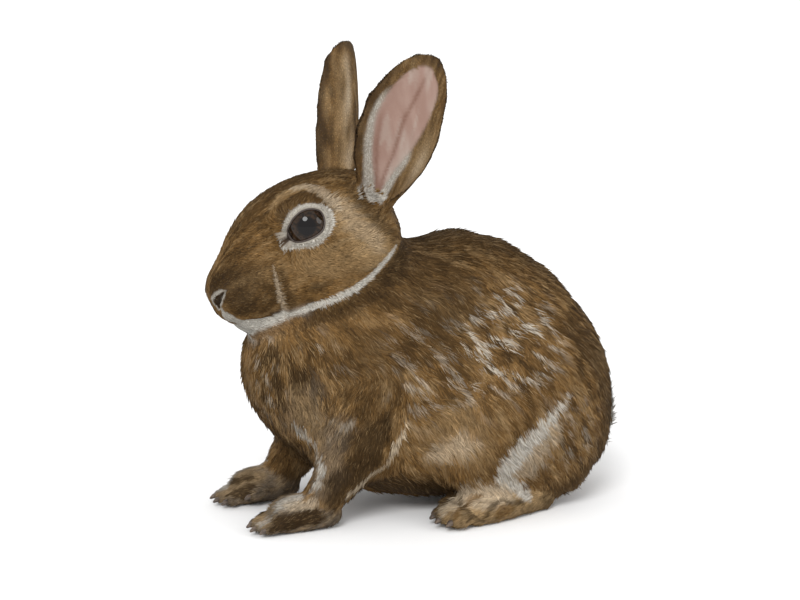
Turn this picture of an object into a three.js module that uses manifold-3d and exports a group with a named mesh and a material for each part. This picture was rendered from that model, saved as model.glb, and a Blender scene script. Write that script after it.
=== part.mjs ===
// A young wild rabbit sitting with its head up and its ears raised, life size, in millimetres.
// +Z is up, the rabbit faces -X and its left side is towards -Y. It rests on its four feet at Z = 0.
// Every outline runs out to the tips of the coat.
import * as THREE from "three";
import { mergeVertices } from "three/addons/utils/BufferGeometryUtils.js";
import Module from "manifold-3d";

const wasm = await Module();
wasm.setup();

// ---- driving sizes -----------------------------------------------------------------------------
const GAP = 0.4; // left between two pieces that meet
const EAR_GAP = 0.9; // the same round the thin roots of the ears
const TRIM = 0.19; // slivers flatter than this are smoothed away, well inside the gap
const HEAD_LENGTH = 111; // nose to the back of the skull
const HEAD_TILT = 19.5; // degrees that the face slopes down towards the nose
const EYE_RADIUS = 12.2;
const EAR_LENGTH = 92;
const EAR_OPENING = 42; // degrees that each ear's opening is turned forward from straight sideways
const FOREFOOT_APART = 27; // from the middle plane
const HIND_FOOT_APART = 49;
const FOREFOOT_TOE = 7.6; // width of a toe
const HIND_FOOT_TOE = 9.4;
const CLAW_LENGTH = 4.2;
const SIDES = [
  { name: "left", side: -1 },
  { name: "right", side: 1 },
];

const coat = (color) => new THREE.MeshStandardMaterial({ color, roughness: 0.9, metalness: 0 });
const brownCoat = coat(0x7a5f42);
const darkCoat = coat(0x5c452c);
const paleCoat = coat(0xa89880);
const eyeGloss = new THREE.MeshStandardMaterial({ color: 0x1c140e, roughness: 0.08, metalness: 0 });
const horn = new THREE.MeshStandardMaterial({ color: 0x3a2f26, roughness: 0.45, metalness: 0 });

// ---- lofts: the rings of a sphere spread along a line of stations ------------------------------
const Z_UP = new THREE.Vector3(0, 0, 1);
const degrees = THREE.MathUtils.degToRad;

// Where each ring lies along the line, from 0 to 1, and how far it has closed at a rounded end.
function ringPlaces(rings, startCap, endCap) {
  const capRings = Math.min(4, Math.floor(rings / 3));
  const places = [];
  for (let i = 0; i <= rings; i++) {
    const open = (fromEnd) => Math.min(fromEnd / capRings, 1) * (Math.PI / 2);
    const start = open(i);
    const end = open(rings - i);
    const share = THREE.MathUtils.clamp((i - capRings) / (rings - 2 * capRings), 0, 1);
    let t = startCap + (1 - startCap - endCap) * share;
    if (i < capRings) t = startCap * (1 - Math.cos(start));
    if (i > rings - capRings) t = 1 - endCap * (1 - Math.cos(end));
    places.push({ t, closed: Math.sin(start) * Math.sin(end) });
  }
  return places;
}

// stations: [{ at: [x, y, z], size: [half width, up, down], more: [pear, curl, square] }, ...]
//   pear narrows the upper half of a section and widens the lower half,
//   curl rolls a flat section round a line above it, by so many degrees to each side,
//   square makes a round section boxier.
// level keeps every section upright, square to the line's overall direction.
// upward is the direction of a section's up side, and swell grows the whole piece.
function loft({ stations, sides, rings, startCap, endCap, level = false, upward = Z_UP }, swell = 0) {
  const track = (values) => new THREE.CatmullRomCurve3(values.map((v) => new THREE.Vector3(...v)));
  const line = track(stations.map((s) => s.at));
  const sizes = track(stations.map((s) => s.size));
  const shapes = track(stations.map((s) => s.more ?? [0, 0, 0]));
  const overall = line.getPoint(1).sub(line.getPoint(0)).setZ(0).normalize();
  const ball = new THREE.SphereGeometry(1, sides, rings);
  const position = ball.getAttribute("position");
  const point = new THREE.Vector3();
  ringPlaces(rings, startCap, endCap).forEach(({ t, closed }, ring) => {
    const ahead = level ? overall : line.getTangent(t);
    const across = new THREE.Vector3().crossVectors(upward, ahead).normalize();
    const up = new THREE.Vector3().crossVectors(ahead, across);
    const outward = t < 0.5 ? -1 : 1;
    const centre = line.getPoint(t).addScaledVector(ahead, outward * swell * Math.sqrt(1 - closed ** 2));
    const { x: half, y: rise, z: fall } = sizes.getPoint(t);
    const { x: pear, y: curl, z: square } = shapes.getPoint(t);
    const grown = closed > 1e-6 ? swell : 0;
    for (let i = 0; i <= sides; i++) {
      const angle = (i / sides) * 2 * Math.PI;
      const box = 1 + square * Math.sin(2 * angle) ** 2;
      const sin = Math.sin(angle) * box;
      const cos = Math.cos(angle) * box;
      let side = -cos * (half * (1 - pear * sin) * closed + grown);
      let lift = sin * ((sin > 0 ? rise : fall) * closed + grown);
      if (curl > 1) {
        const radius = half / degrees(curl);
        const turn = side / radius;
        side = (radius - lift) * Math.sin(turn);
        lift = radius - (radius - lift) * Math.cos(turn);
      }
      point.copy(centre).addScaledVector(across, side).addScaledVector(up, lift);
      position.setXYZ(ring * (sides + 1) + i, point.x, point.y, point.z);
    }
  });
  return ball;
}

// ---- solids ------------------------------------------------------------------------------------
// A closed geometry as a solid that can be cut and joined.
function solid(geometry, matrix = new THREE.Matrix4()) {
  const bare = geometry.clone();
  bare.deleteAttribute("normal");
  bare.deleteAttribute("uv");
  const merged = mergeVertices(bare, 1e-3).applyMatrix4(matrix);
  const vertProperties = new Float32Array(merged.getAttribute("position").array);
  const triVerts = new Uint32Array(merged.index.array);
  return new wasm.Manifold(new wasm.Mesh({ numProp: 3, vertProperties, triVerts }));
}

const whole = (shape, matrix) => solid(loft(shape), matrix);
const hollow = (shape, matrix, gap = GAP) => solid(loft(shape, gap), matrix);

// Cutting can leave a crumb beside a body: only the largest piece is kept.
function largest(made) {
  return made.decompose().reduce((a, b) => (b.volume() > a.volume() ? b : a));
}

function joined(solids) {
  return solids.reduce((a, b) => a.add(b));
}

function addMesh(group, name, made, material) {
  const { numProp, vertProperties, triVerts } = largest(made.simplify(TRIM)).getMesh();
  const corners = [];
  for (let i = 0; i < vertProperties.length; i += numProp) {
    corners.push(vertProperties[i], vertProperties[i + 1], vertProperties[i + 2]);
  }
  const geometry = new THREE.BufferGeometry();
  geometry.setAttribute("position", new THREE.Float32BufferAttribute(corners, 3));
  geometry.setIndex(new THREE.BufferAttribute(triVerts, 1));
  geometry.computeVertexNormals();
  const mesh = new THREE.Mesh(geometry, material);
  mesh.name = name;
  group.add(mesh);
}

// All space on the far side of a plane: above a level, or further out to one side than a distance.
const REACH = 600;
const block = (x, y, z) =>
  solid(new THREE.BoxGeometry(REACH, REACH, REACH), new THREE.Matrix4().makeTranslation(x, y, z));
const above = (z) => block(0, 0, z + REACH / 2);
const beyond = (y, side) => block(0, side * (y + REACH / 2), 0);

// ---- trunk, neck and tail ----------------------------------------------------------------------
// A section of the trunk from its height above the floor at the back and at the belly.
const slice = (x, back, belly, half, widest, pear = 0) => ({
  at: [x, 0, widest],
  size: [half, back - widest, widest - belly],
  more: [pear, 0, 0.07],
});

const TRUNK = {
  sides: 20,
  rings: 15,
  startCap: 0.1,
  endCap: 0.13,
  level: true,
  stations: [
    slice(-90, 105, 61, 26, 84),
    slice(-71, 113, 43, 34, 79),
    slice(-44, 123, 18, 41, 73),
    slice(-12, 141, 6, 46, 69, 0.06),
    slice(20, 154, 3.5, 50, 67, 0.12),
    slice(52, 149, 3, 54, 63, 0.16),
    slice(82, 132, 3, 54, 57, 0.16),
    slice(106, 104, 12, 46, 55, 0.1),
    slice(121, 81, 30, 32, 56, 0.04),
  ],
};

const NECK = {
  sides: 14,
  rings: 9,
  startCap: 0.1,
  endCap: 0.1,
  stations: [
    { at: [30, 0, 107], size: [36, 38, 38] },
    { at: [0, 0, 116], size: [35, 34, 38] },
    { at: [-28, 0, 123], size: [32, 34, 36] },
    { at: [-60, 0, 127], size: [24, 28, 34] },
  ],
};

const TAIL = {
  sides: 12,
  rings: 9,
  startCap: 0.16,
  endCap: 0.22,
  upward: new THREE.Vector3(1, 0, 0),
  stations: [
    { at: [108, 0, 20], size: [9, 9, 9] },
    { at: [116, 0, 34], size: [14, 10, 9] },
    { at: [117, 0, 50], size: [15, 9, 9] },
    { at: [113, 0, 66], size: [10, 8, 8] },
  ],
};

// ---- head, in its own frame: the nose at the origin, +X back along the skull ---------------------
const L = HEAD_LENGTH;
const inHead = new THREE.Matrix4()
  .makeTranslation(-107, 0, 122)
  .multiply(new THREE.Matrix4().makeRotationY(-degrees(HEAD_TILT)));

const HEAD = {
  sides: 20,
  rings: 18,
  startCap: 0.06,
  endCap: 0.12,
  level: true,
  stations: [
    { at: [0, 0, 0], size: [12, 8, 11], more: [0, 0, 0.06] },
    { at: [0.1 * L, 0, 0], size: [15.5, 17.5, 19.5], more: [0.12, 0, 0.06] },
    { at: [0.21 * L, 0, 0], size: [18, 31, 22], more: [0.2, 0, 0.05] },
    { at: [0.32 * L, 0, 0], size: [21, 39, 23], more: [0.2, 0, 0.05] },
    { at: [0.46 * L, 0, 0], size: [26, 43, 25], more: [0.08, 0, 0.05] },
    { at: [0.6 * L, 0, 0], size: [30, 43.5, 27.5], more: [0.06, 0, 0.05] },
    { at: [0.74 * L, 0, 0], size: [32, 41.5, 28], more: [0.1, 0, 0.04] },
    { at: [0.88 * L, 0, 0], size: [29, 35, 25], more: [0.1, 0, 0.04] },
    { at: [L, 0, 2], size: [22, 24, 18], more: [0, 0, 0] },
  ],
};

// The chin and the edge of the lower jaw, under the muzzle.
const JAW = {
  sides: 10,
  rings: 9,
  startCap: 0.14,
  endCap: 0.14,
  level: true,
  stations: [
    { at: [0.06 * L, 0, -14], size: [9.5, 6, 9.5] },
    { at: [0.15 * L, 0, -17], size: [13.5, 7, 10.6] },
    { at: [0.3 * L, 0, -19], size: [16.5, 8, 10.6] },
    { at: [0.46 * L, 0, -20], size: [20, 8, 9.8] },
    { at: [0.6 * L, 0, -20], size: [21, 7, 9] },
    { at: [0.7 * L, 0, -18], size: [18, 6, 8] },
  ],
};

const EYE_PLACE = { back: 0.545 * L, out: 14.6, up: 20 };

// ---- ears: a leaf rolled into a tube at its root and open above ----------------------------------
// The front edge of the left ear is straighter than the right ear's, and its tip swings back.
const UPPER_EAR = {
  left: [
    { half: 27.9, back: 0.6 },
    { half: 20.8, back: 2.2 },
    { half: 13.5, back: 2.8 },
  ],
  right: [
    { half: 28.5, back: 0 },
    { half: 23.2, back: 0 },
    { half: 13.2, back: 0 },
  ],
};

const earLeaf = (side) => {
  const root = new THREE.Vector3(-27 - 4 * side, 17.5 * side, 165);
  const tip = new THREE.Vector3(-8 - 3 * side, 57 * side, 251.5 - 0.5 * side);
  const along = tip.clone().sub(root).divideScalar(EAR_LENGTH);
  const turn = degrees(EAR_OPENING);
  const opening = new THREE.Vector3(-Math.sin(turn), side * Math.cos(turn), 0.2).normalize();
  const across = new THREE.Vector3().crossVectors(opening, along).multiplyScalar(side);
  const [waist, shoulder, end] = UPPER_EAR[side < 0 ? "left" : "right"];
  // The ridge of the leaf lies behind its line, and each station may be shifted towards its back edge.
  const at = (share, behind, back = 0) =>
    root
      .clone()
      .addScaledVector(along, share * EAR_LENGTH)
      .addScaledVector(opening, -behind)
      .addScaledVector(across, back)
      .toArray();
  return {
    sides: 16,
    rings: 14,
    startCap: 0.05,
    endCap: 0.17,
    upward: opening,
    stations: [
      { at: at(-0.06, 6), size: [18, 2.4, 2.4], more: [0, 150, 0] },
      { at: at(0.05, 7), size: [20, 2.2, 2.2], more: [0, 148, 0] },
      { at: at(0.2, 8.5), size: [24, 1.9, 1.9], more: [0, 118, 0] },
      { at: at(0.38, 9), size: [28, 1.7, 1.7], more: [0, 74, 0] },
      { at: at(0.6, 7.5, waist.back), size: [waist.half, 1.6, 1.6], more: [0, 54, 0] },
      { at: at(0.82, 5, shoulder.back), size: [shoulder.half, 1.6, 1.6], more: [0, 46, 0] },
      { at: at(1, 3, end.back), size: [end.half, 1.6, 1.6], more: [0, 40, 0] },
    ],
  };
};

// ---- forelegs and forefeet -------------------------------------------------------------------------
// The right foot is set a little further forward than the left.
const STEP_FORWARD = 6;
const forward = (side) => (side > 0 ? -STEP_FORWARD : 0);

const foreleg = (side) => ({
  sides: 12,
  rings: 9,
  startCap: 0.12,
  endCap: 0.08,
  upward: new THREE.Vector3(-1, 0, 0),
  stations: [
    { at: [-22, 27 * side, 89], size: [15, 24, 24] },
    { at: [-26, 31 * side, 65], size: [16, 32, 24] },
    { at: [-35 + 0.4 * forward(side), 32 * side, 43], size: [14, 26, 22] },
    { at: [-46 + 0.7 * forward(side), 30 * side, 27], size: [11.5, 16, 15] },
    { at: [-55 + forward(side), 28.5 * side, 15], size: [10, 12, 12] },
    { at: [-58 + forward(side), 28 * side, 9], size: [9, 11, 10] },
  ],
});

// A foot from its heel to the roots of its toes, over the floor.
const forefoot = (side) => ({
  sides: 10,
  rings: 7,
  startCap: 0.16,
  endCap: 0.14,
  stations: [
    { at: [-43 + forward(side), 28.5 * side, 8], size: [8, 6, 6] },
    { at: [-56 + forward(side), 28 * side, 8.5], size: [10, 12, 10] },
    { at: [-70 + forward(side), 27.5 * side, 8], size: [11, 12.5, 10] },
    { at: [-82 + forward(side), 27 * side, 6.5], size: [11, 9.5, 9] },
  ],
});

// ---- thighs and hind feet --------------------------------------------------------------------------
const thigh = (side) => ({
  sides: 16,
  rings: 11,
  startCap: 0.2,
  endCap: 0.22,
  level: true,
  stations: [
    { at: [107, 34 * side, 51], size: [15, 28, 30] },
    { at: [84, 39 * side, 55], size: [18, 42, 50] },
    { at: [54, 42 * side, 51], size: [19, 47, 42] },
    { at: [28, 44 * side, 41], size: [17, 38, 30] },
    { at: [6, 43 * side, 32], size: [11, 22, 18] },
  ],
});

const hindFoot = (side) => ({
  sides: 10,
  rings: 8,
  startCap: 0.12,
  endCap: 0.12,
  level: true,
  stations: [
    { at: [78, 37 * side, 11], size: [8, 9, 12] },
    { at: [62, 41 * side, 11], size: [10, 11, 12] },
    { at: [46, 45 * side, 10], size: [12, 12, 12] },
    { at: [30, 48 * side, 9], size: [13, 12, 12] },
    { at: [15, 49 * side, 7.5], size: [13, 10, 10] },
  ],
});

// ---- toes and claws ---------------------------------------------------------------------------------
const FORELEG_ROOT = 19; // distance from the middle plane at which a foreleg meets the trunk
const THIGH_ROOT = 32;

// Each toe: how far outwards it sits from the middle of its foot, how far it reaches past the
// foot, and how it splays. A forefoot has a fifth toe, set back and carried high on its inner side.
const FORE_TOES = [
  { across: -7.6, reach: 6, splay: -12 },
  { across: -2.6, reach: 9, splay: -4 },
  { across: 2.8, reach: 9, splay: 4 },
  { across: 7.6, reach: 5.5, splay: 12 },
  { across: -12.5, reach: 3, splay: -12, back: 9, lift: 3 },
];
const HIND_TOES = [
  { across: -9.4, reach: 6, splay: -9 },
  { across: -3.2, reach: 9.5, splay: -3 },
  { across: 3.4, reach: 9.5, splay: 3 },
  { across: 9.6, reach: 6, splay: 9 },
];

// A frame at a toe's root: its travel runs forward along -X, turned by the splay.
function toeFrame(front, { across, splay, back = 0, lift = 0 }, side) {
  return new THREE.Matrix4()
    .makeTranslation(front.x + back, front.y + across * side, lift)
    .multiply(new THREE.Matrix4().makeRotationZ(-degrees(splay) * side));
}

const toe = (width, reach) => ({
  sides: 6,
  rings: 6,
  startCap: 0.2,
  endCap: 0.24,
  stations: [
    { at: [12, 0, 0.75 * width], size: [0.42 * width, 0.6 * width, 0.6 * width] },
    { at: [2, 0, 0.8 * width], size: [0.5 * width, 0.62 * width, 0.7 * width] },
    { at: [0.4 * width - reach, 0, 0.62 * width], size: [0.5 * width, 0.56 * width, 0.62 * width] },
    { at: [-reach, 0, 0.5 * width], size: [0.4 * width, 0.4 * width, 0.45 * width] },
  ],
});

// A claw curves forward and down from just off the end of its toe, and stops short of the floor.
const claw = (width, reach) => ({
  sides: 6,
  rings: 4,
  startCap: 0.12,
  endCap: 0.1,
  stations: [
    { at: [-GAP - reach, 0, 0.56 * width], size: [0.16 * width, 0.2 * width, 0.2 * width] },
    { at: [-2 - reach, 0, 0.53 * width], size: [0.15 * width, 0.18 * width, 0.18 * width] },
    { at: [-CLAW_LENGTH - reach, 0, 0.26 * width + 0.6], size: [0.05 * width, 0.07 * width, 0.07 * width] },
  ],
});

// The toes and claws of one foot.
function digits(front, toes, width, side) {
  const frames = toes.map((t) => toeFrame(front, t, side));
  return {
    toes: toes.map((t, i) => whole(toe(width, t.reach), frames[i])),
    claws: toes.map((t, i) => whole(claw(width, t.reach), frames[i])),
  };
}

// ---- the whole rabbit ------------------------------------------------------------------------------
const rabbit = new THREE.Group();
const eyeBall = (side, radius) => {
  const ball = new THREE.SphereGeometry(radius, 12, 9);
  const place = new THREE.Matrix4().makeTranslation(EYE_PLACE.back, EYE_PLACE.out * side, EYE_PLACE.up);
  return solid(ball, inHead.clone().multiply(place));
};

const jaw = whole(JAW, inHead);
let head = whole(HEAD, inHead).subtract(hollow(JAW, inHead));
let neck = whole(NECK).subtract(hollow(HEAD, inHead)).subtract(hollow(JAW, inHead));
let trunk = whole(TRUNK).subtract(hollow(HEAD, inHead)).subtract(hollow(JAW, inHead));
trunk = trunk.subtract(hollow(NECK));

for (const { name, side } of SIDES) {
  addMesh(rabbit, `${name}_eye`, eyeBall(side, EYE_RADIUS), eyeGloss);
  head = head.subtract(eyeBall(side, EYE_RADIUS + GAP));

  const leaf = earLeaf(side);
  addMesh(rabbit, `${name}_ear`, whole(leaf), brownCoat);
  head = head.subtract(hollow(leaf, undefined, EAR_GAP));
  neck = neck.subtract(hollow(leaf, undefined, EAR_GAP));

  const foreToes = digits(
    { x: -82 + forward(side), y: FOREFOOT_APART * side },
    FORE_TOES,
    FOREFOOT_TOE,
    side,
  );
  const hindToes = digits({ x: 14, y: HIND_FOOT_APART * side }, HIND_TOES, HIND_FOOT_TOE, side);
  foreToes.claws.forEach((made, i) => addMesh(rabbit, `${name}_fore_claw_${i + 1}`, made, horn));
  hindToes.claws.forEach((made, i) => addMesh(rabbit, `${name}_hind_claw_${i + 1}`, made, horn));

  const fore = joined([whole(forefoot(side)), ...foreToes.toes]).intersect(above(0));
  const hind = joined([whole(hindFoot(side)), ...hindToes.toes]).intersect(above(0));
  addMesh(rabbit, `${name}_forefoot`, fore, paleCoat);
  addMesh(rabbit, `${name}_hind_foot`, hind, paleCoat);

  const leg = whole(foreleg(side)).subtract(hollow(forefoot(side))).intersect(above(2));
  addMesh(rabbit, `${name}_foreleg`, leg.intersect(beyond(FORELEG_ROOT, side)), darkCoat);
  const haunch = whole(thigh(side)).subtract(hollow(hindFoot(side))).intersect(above(4));
  addMesh(rabbit, `${name}_thigh`, haunch.intersect(beyond(THIGH_ROOT, side)), brownCoat);

  trunk = trunk.subtract(hollow(foreleg(side)).intersect(beyond(FORELEG_ROOT - GAP, side)));
  trunk = trunk.subtract(hollow(thigh(side)).intersect(beyond(THIGH_ROOT - GAP, side)));
  trunk = trunk.subtract(hollow(hindFoot(side)));
  neck = neck.subtract(hollow(foreleg(side)));
}

addMesh(rabbit, "head", head, brownCoat);
addMesh(rabbit, "lower_jaw", jaw, paleCoat);
addMesh(rabbit, "neck", neck, brownCoat);
addMesh(rabbit, "tail", whole(TAIL), paleCoat);
addMesh(rabbit, "trunk", trunk.subtract(hollow(TAIL)), brownCoat);

// The origin lies on the floor, under the middle of the whole rabbit's box.
const middle = new THREE.Box3().setFromObject(rabbit).getCenter(new THREE.Vector3());
rabbit.position.set(-middle.x, -middle.y, 0);

export default rabbit;
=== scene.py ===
"""A young wild rabbit, sitting: its skin, coat, eyes and claws, made from its solids, and its stage.

Lengths in the tables are millimetres. The rabbit faces -X with its left side towards -Y, on the floor Z = 0.
Places on the head are given along the skull from the nose, out from the middle plane, and up.
"""

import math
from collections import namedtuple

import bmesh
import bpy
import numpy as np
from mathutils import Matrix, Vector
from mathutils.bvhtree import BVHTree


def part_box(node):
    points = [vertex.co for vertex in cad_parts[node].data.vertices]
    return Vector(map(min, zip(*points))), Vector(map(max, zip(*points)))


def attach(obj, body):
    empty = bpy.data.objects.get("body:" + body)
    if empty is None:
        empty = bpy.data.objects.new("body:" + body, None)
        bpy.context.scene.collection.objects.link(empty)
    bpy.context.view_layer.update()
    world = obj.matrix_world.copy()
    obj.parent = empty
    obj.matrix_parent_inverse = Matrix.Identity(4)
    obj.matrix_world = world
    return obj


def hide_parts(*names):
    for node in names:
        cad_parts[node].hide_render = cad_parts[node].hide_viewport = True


bl_info = {
    "name": "Seated Wild Rabbit",
    "version": (1, 0, 0),
    "blender": (4, 5, 0),
    "location": "3D Viewport > Sidebar > Rabbit",
    "description": "Builds the skin, coat, eyes and claws of a seated wild rabbit, and its stage",
    "category": "Object",
}

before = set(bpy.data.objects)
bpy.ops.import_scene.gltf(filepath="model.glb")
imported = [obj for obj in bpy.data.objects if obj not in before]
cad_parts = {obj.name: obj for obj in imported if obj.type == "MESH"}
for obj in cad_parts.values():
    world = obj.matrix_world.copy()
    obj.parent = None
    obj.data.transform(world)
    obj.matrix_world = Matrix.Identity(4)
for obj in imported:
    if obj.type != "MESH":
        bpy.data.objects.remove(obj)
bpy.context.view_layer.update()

MM = 0.001
SIDES = {"left": -1, "right": 1}
EYE_NODES = [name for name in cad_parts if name.endswith("_eye")]
CLAW_NODES = [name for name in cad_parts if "_claw_" in name]
FLESH_NODES = [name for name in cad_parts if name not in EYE_NODES + CLAW_NODES]

# ---- places worked out from the frame ----
HEAD_TILT = math.radians(19.5)
NOSE_TO_EYES = 60.5
NOSE_UNDER_EYES = 20.0
HEAD_BACK = np.array((math.cos(HEAD_TILT), 0, math.sin(HEAD_TILT)))
HEAD_UP = np.array((-math.sin(HEAD_TILT), 0, math.cos(HEAD_TILT)))
OUTWARD = np.array((0, 1, 0))


def centre_of(node):
    """The middle of a node's box, in millimetres."""
    low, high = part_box(node)
    return np.array((low + high) / 2) / MM


EYE_CENTRES = {name: centre_of(name + "_eye") for name in SIDES}
BALL_RADIUS = (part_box("left_eye")[1].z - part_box("left_eye")[0].z) / 2 / MM
EYE_MIDDLE = sum(EYE_CENTRES.values()) / 2
SKULL_MIDDLE = EYE_MIDDLE - 10 * HEAD_BACK - 12 * HEAD_UP
NOSE = EYE_MIDDLE - NOSE_TO_EYES * HEAD_BACK - NOSE_UNDER_EYES * HEAD_UP


def from_head(directions):
    """Directions given on the head, in the world's."""
    return directions @ np.stack([HEAD_BACK, OUTWARD, HEAD_UP])


def mirrored(points):
    """The same points, all brought to the right side."""
    return np.stack([points[:, 0], np.abs(points[:, 1]), points[:, 2]], -1)


# ---- small tools ----
def smooth_step(values, low, high):
    """0 below low, 1 above high, and smooth between."""
    share = np.clip((values - low) / (high - low), 0, 1)
    return share * share * (3 - 2 * share)


def fading(values, low, high):
    """1 below low, 0 above high, and smooth between."""
    return 1 - smooth_step(values, low, high)


def at_least(least, share):
    """A share from 0 to 1, brought into the range from a least value to 1."""
    return least + (1 - least) * share


def band(values, middle, half_width):
    """1 at the middle, and less away from it."""
    return np.exp(-(((values - middle) / half_width) ** 2))


def unit(vectors):
    """Vectors brought to a length of 1."""
    return vectors / np.maximum(np.linalg.norm(vectors, axis=-1, keepdims=True), 1e-9)


def along_surface(directions, normals):
    """Directions laid flat on the surface."""
    return unit(directions - (directions * normals).sum(-1, keepdims=True) * normals)


def read(items, name, width=3, kind=np.float32):
    """One value of every item of a mesh, as an array."""
    found = np.empty(len(items) * width, kind)
    items.foreach_get(name, found)
    return found.reshape(-1, width) if width > 1 else found


def placed(name, data):
    """A new object in the scene."""
    thing = bpy.data.objects.new(name, data)
    bpy.context.scene.collection.objects.link(thing)
    return thing


ATTRIBUTE_FIELDS = {"FLOAT": ("value", 1), "FLOAT_VECTOR": ("vector", 3), "FLOAT_COLOR": ("color", 4)}


def add_attribute(mesh, name, kind, values):
    """Stores a value for every point of a mesh."""
    made = mesh.attributes.new(name, kind, "POINT")
    made.data.foreach_set(ATTRIBUTE_FIELDS[kind][0], np.ascontiguousarray(values, np.float32).ravel())


def read_attribute(mesh, name):
    """The values stored by add_attribute."""
    made = mesh.attributes[name]
    return read(made.data, *ATTRIBUTE_FIELDS[made.data_type]).astype(float)


FAR = 1e6


def distance_to_line(points, line, reach=30.0):
    """Distances to a bent line from points within reach, and how far along it they are nearest (0 to 1)."""
    line = np.array(line, float)
    steps = len(line) - 1
    close = ((points > line.min(0) - reach) & (points < line.max(0) + reach)).all(1)
    near = points[close]
    best = np.full(len(near), FAR)
    share = np.zeros(len(near))
    for i in range(steps):
        step = line[i + 1] - line[i]
        t = np.clip((near - line[i]) @ step / max(step @ step, 1e-9), 0, 1)
        gap = np.linalg.norm(near - line[i] - t[:, None] * step, axis=1)
        nearer = gap < best
        best[nearer] = gap[nearer]
        share[nearer] = (i + t[nearer]) / steps
    distances = np.full(len(points), FAR)
    shares = np.zeros(len(points))
    distances[close] = best
    shares[close] = share
    return distances, shares


WAVES = 7


def waves(points, size, seed):
    """A smooth random value from about -1 to 1 at each point, that varies over the given size."""
    random = np.random.default_rng(seed)
    total = np.zeros(len(points))
    for _ in range(WAVES):
        direction = unit(random.normal(size=3)) * (2 * math.pi / size) * random.uniform(0.6, 1.5)
        total += np.sin(points @ direction + random.uniform(0, 2 * math.pi))
    return total / math.sqrt(WAVES)


# ---- settings ----
def length_prop(name, description, millimetres):
    return bpy.props.FloatProperty(
        name=name, description=description, default=millimetres * MM, unit="LENGTH", min=0, precision=4
    )


def colour_prop(name, description, colour):
    return bpy.props.FloatVectorProperty(
        name=name, description=description, default=colour, subtype="COLOR", size=3, min=0, max=1
    )


def angle_prop(name, description, degrees):
    return bpy.props.FloatProperty(
        name=name, description=description, default=math.radians(degrees), subtype="ANGLE"
    )


def share_prop(name, description, value):
    return bpy.props.FloatProperty(name=name, description=description, default=value, min=0, subtype="FACTOR")


class RabbitBody(bpy.types.PropertyGroup):
    """Sizes of the skin and eyes."""

    grain: length_prop("Skin grain", "Size of the skin's faces on the body", 1.6)
    lid: length_prop("Lid", "Thickness of the eyelids", 0.9)
    rim: length_prop("Lid rim", "Radius of the bare rim of the eyelids", 0.5)


class RabbitCoat(bpy.types.PropertyGroup):
    """Amount and colours of the coat."""

    seed: bpy.props.IntProperty(name="Seed", description="Start of the random numbers", default=11, min=0)
    density: share_prop("Density", "Number of the tufts, as a share of the usual", 1.0)
    length: share_prop("Length", "Length of the tufts, as a share of the usual", 1.0)
    brown: colour_prop("Brown", "Most of the coat", (0.152, 0.082, 0.0265))
    # Dark also paints shade: under the jaw and the belly, between the legs, and along the back's outline.
    dark: colour_prop("Dark", "Back, stripes and tips", (0.037, 0.0202, 0.0068))
    tan: colour_prop("Tan", "Cheeks and lighter strokes", (0.30, 0.202, 0.100))
    cream: colour_prop("Cream", "Brow, flecks and toes", (0.44, 0.355, 0.25))
    white: colour_prop("White", "Eye ring, chin and tail", (0.46, 0.435, 0.385))
    grey: colour_prop("Grey", "Legs, and underfur that shows on the breast", (0.165, 0.128, 0.090))
    pink: colour_prop("Pink", "Inside of the ears", (0.32, 0.215, 0.175))


class RabbitStage(bpy.types.PropertyGroup):
    """Camera, lights and floor."""

    turn: angle_prop("Turn", "Camera's direction round the rabbit", -20)
    rise: angle_prop("Rise", "Camera's height as an angle", 12)
    distance: length_prop("Distance", "From the camera to the rabbit", 1000)
    lens: bpy.props.FloatProperty(name="Lens", description="Focal length", default=82.6, unit="CAMERA", min=1)
    floor: colour_prop("Floor", "Colour of the floor", (0.86, 0.86, 0.86))


# ---- shader maths ----
class Shade:
    """A shader socket that takes part in Python sums."""

    def __init__(self, graph, socket):
        self.graph = graph
        self.socket = socket

    def maths(self, operation, *values):
        return self.graph.node("ShaderNodeMath", {"operation": operation}, *values)

    def __add__(self, other):
        return self.maths("ADD", self, other)

    def __sub__(self, other):
        return self.maths("SUBTRACT", self, other)

    def __rsub__(self, other):
        return self.maths("SUBTRACT", other, self)

    def __mul__(self, other):
        return self.maths("MULTIPLY", self, other)

    def __truediv__(self, other):
        return self.maths("DIVIDE", self, other)

    __radd__ = __add__
    __rmul__ = __mul__

    def over(self, low, high):
        """0 below low, 1 above high, and smooth between."""
        settings = {"interpolation_type": "SMOOTHSTEP"}
        return self.graph.node("ShaderNodeMapRange", settings, self, low, high, 0.0, 1.0)


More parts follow.
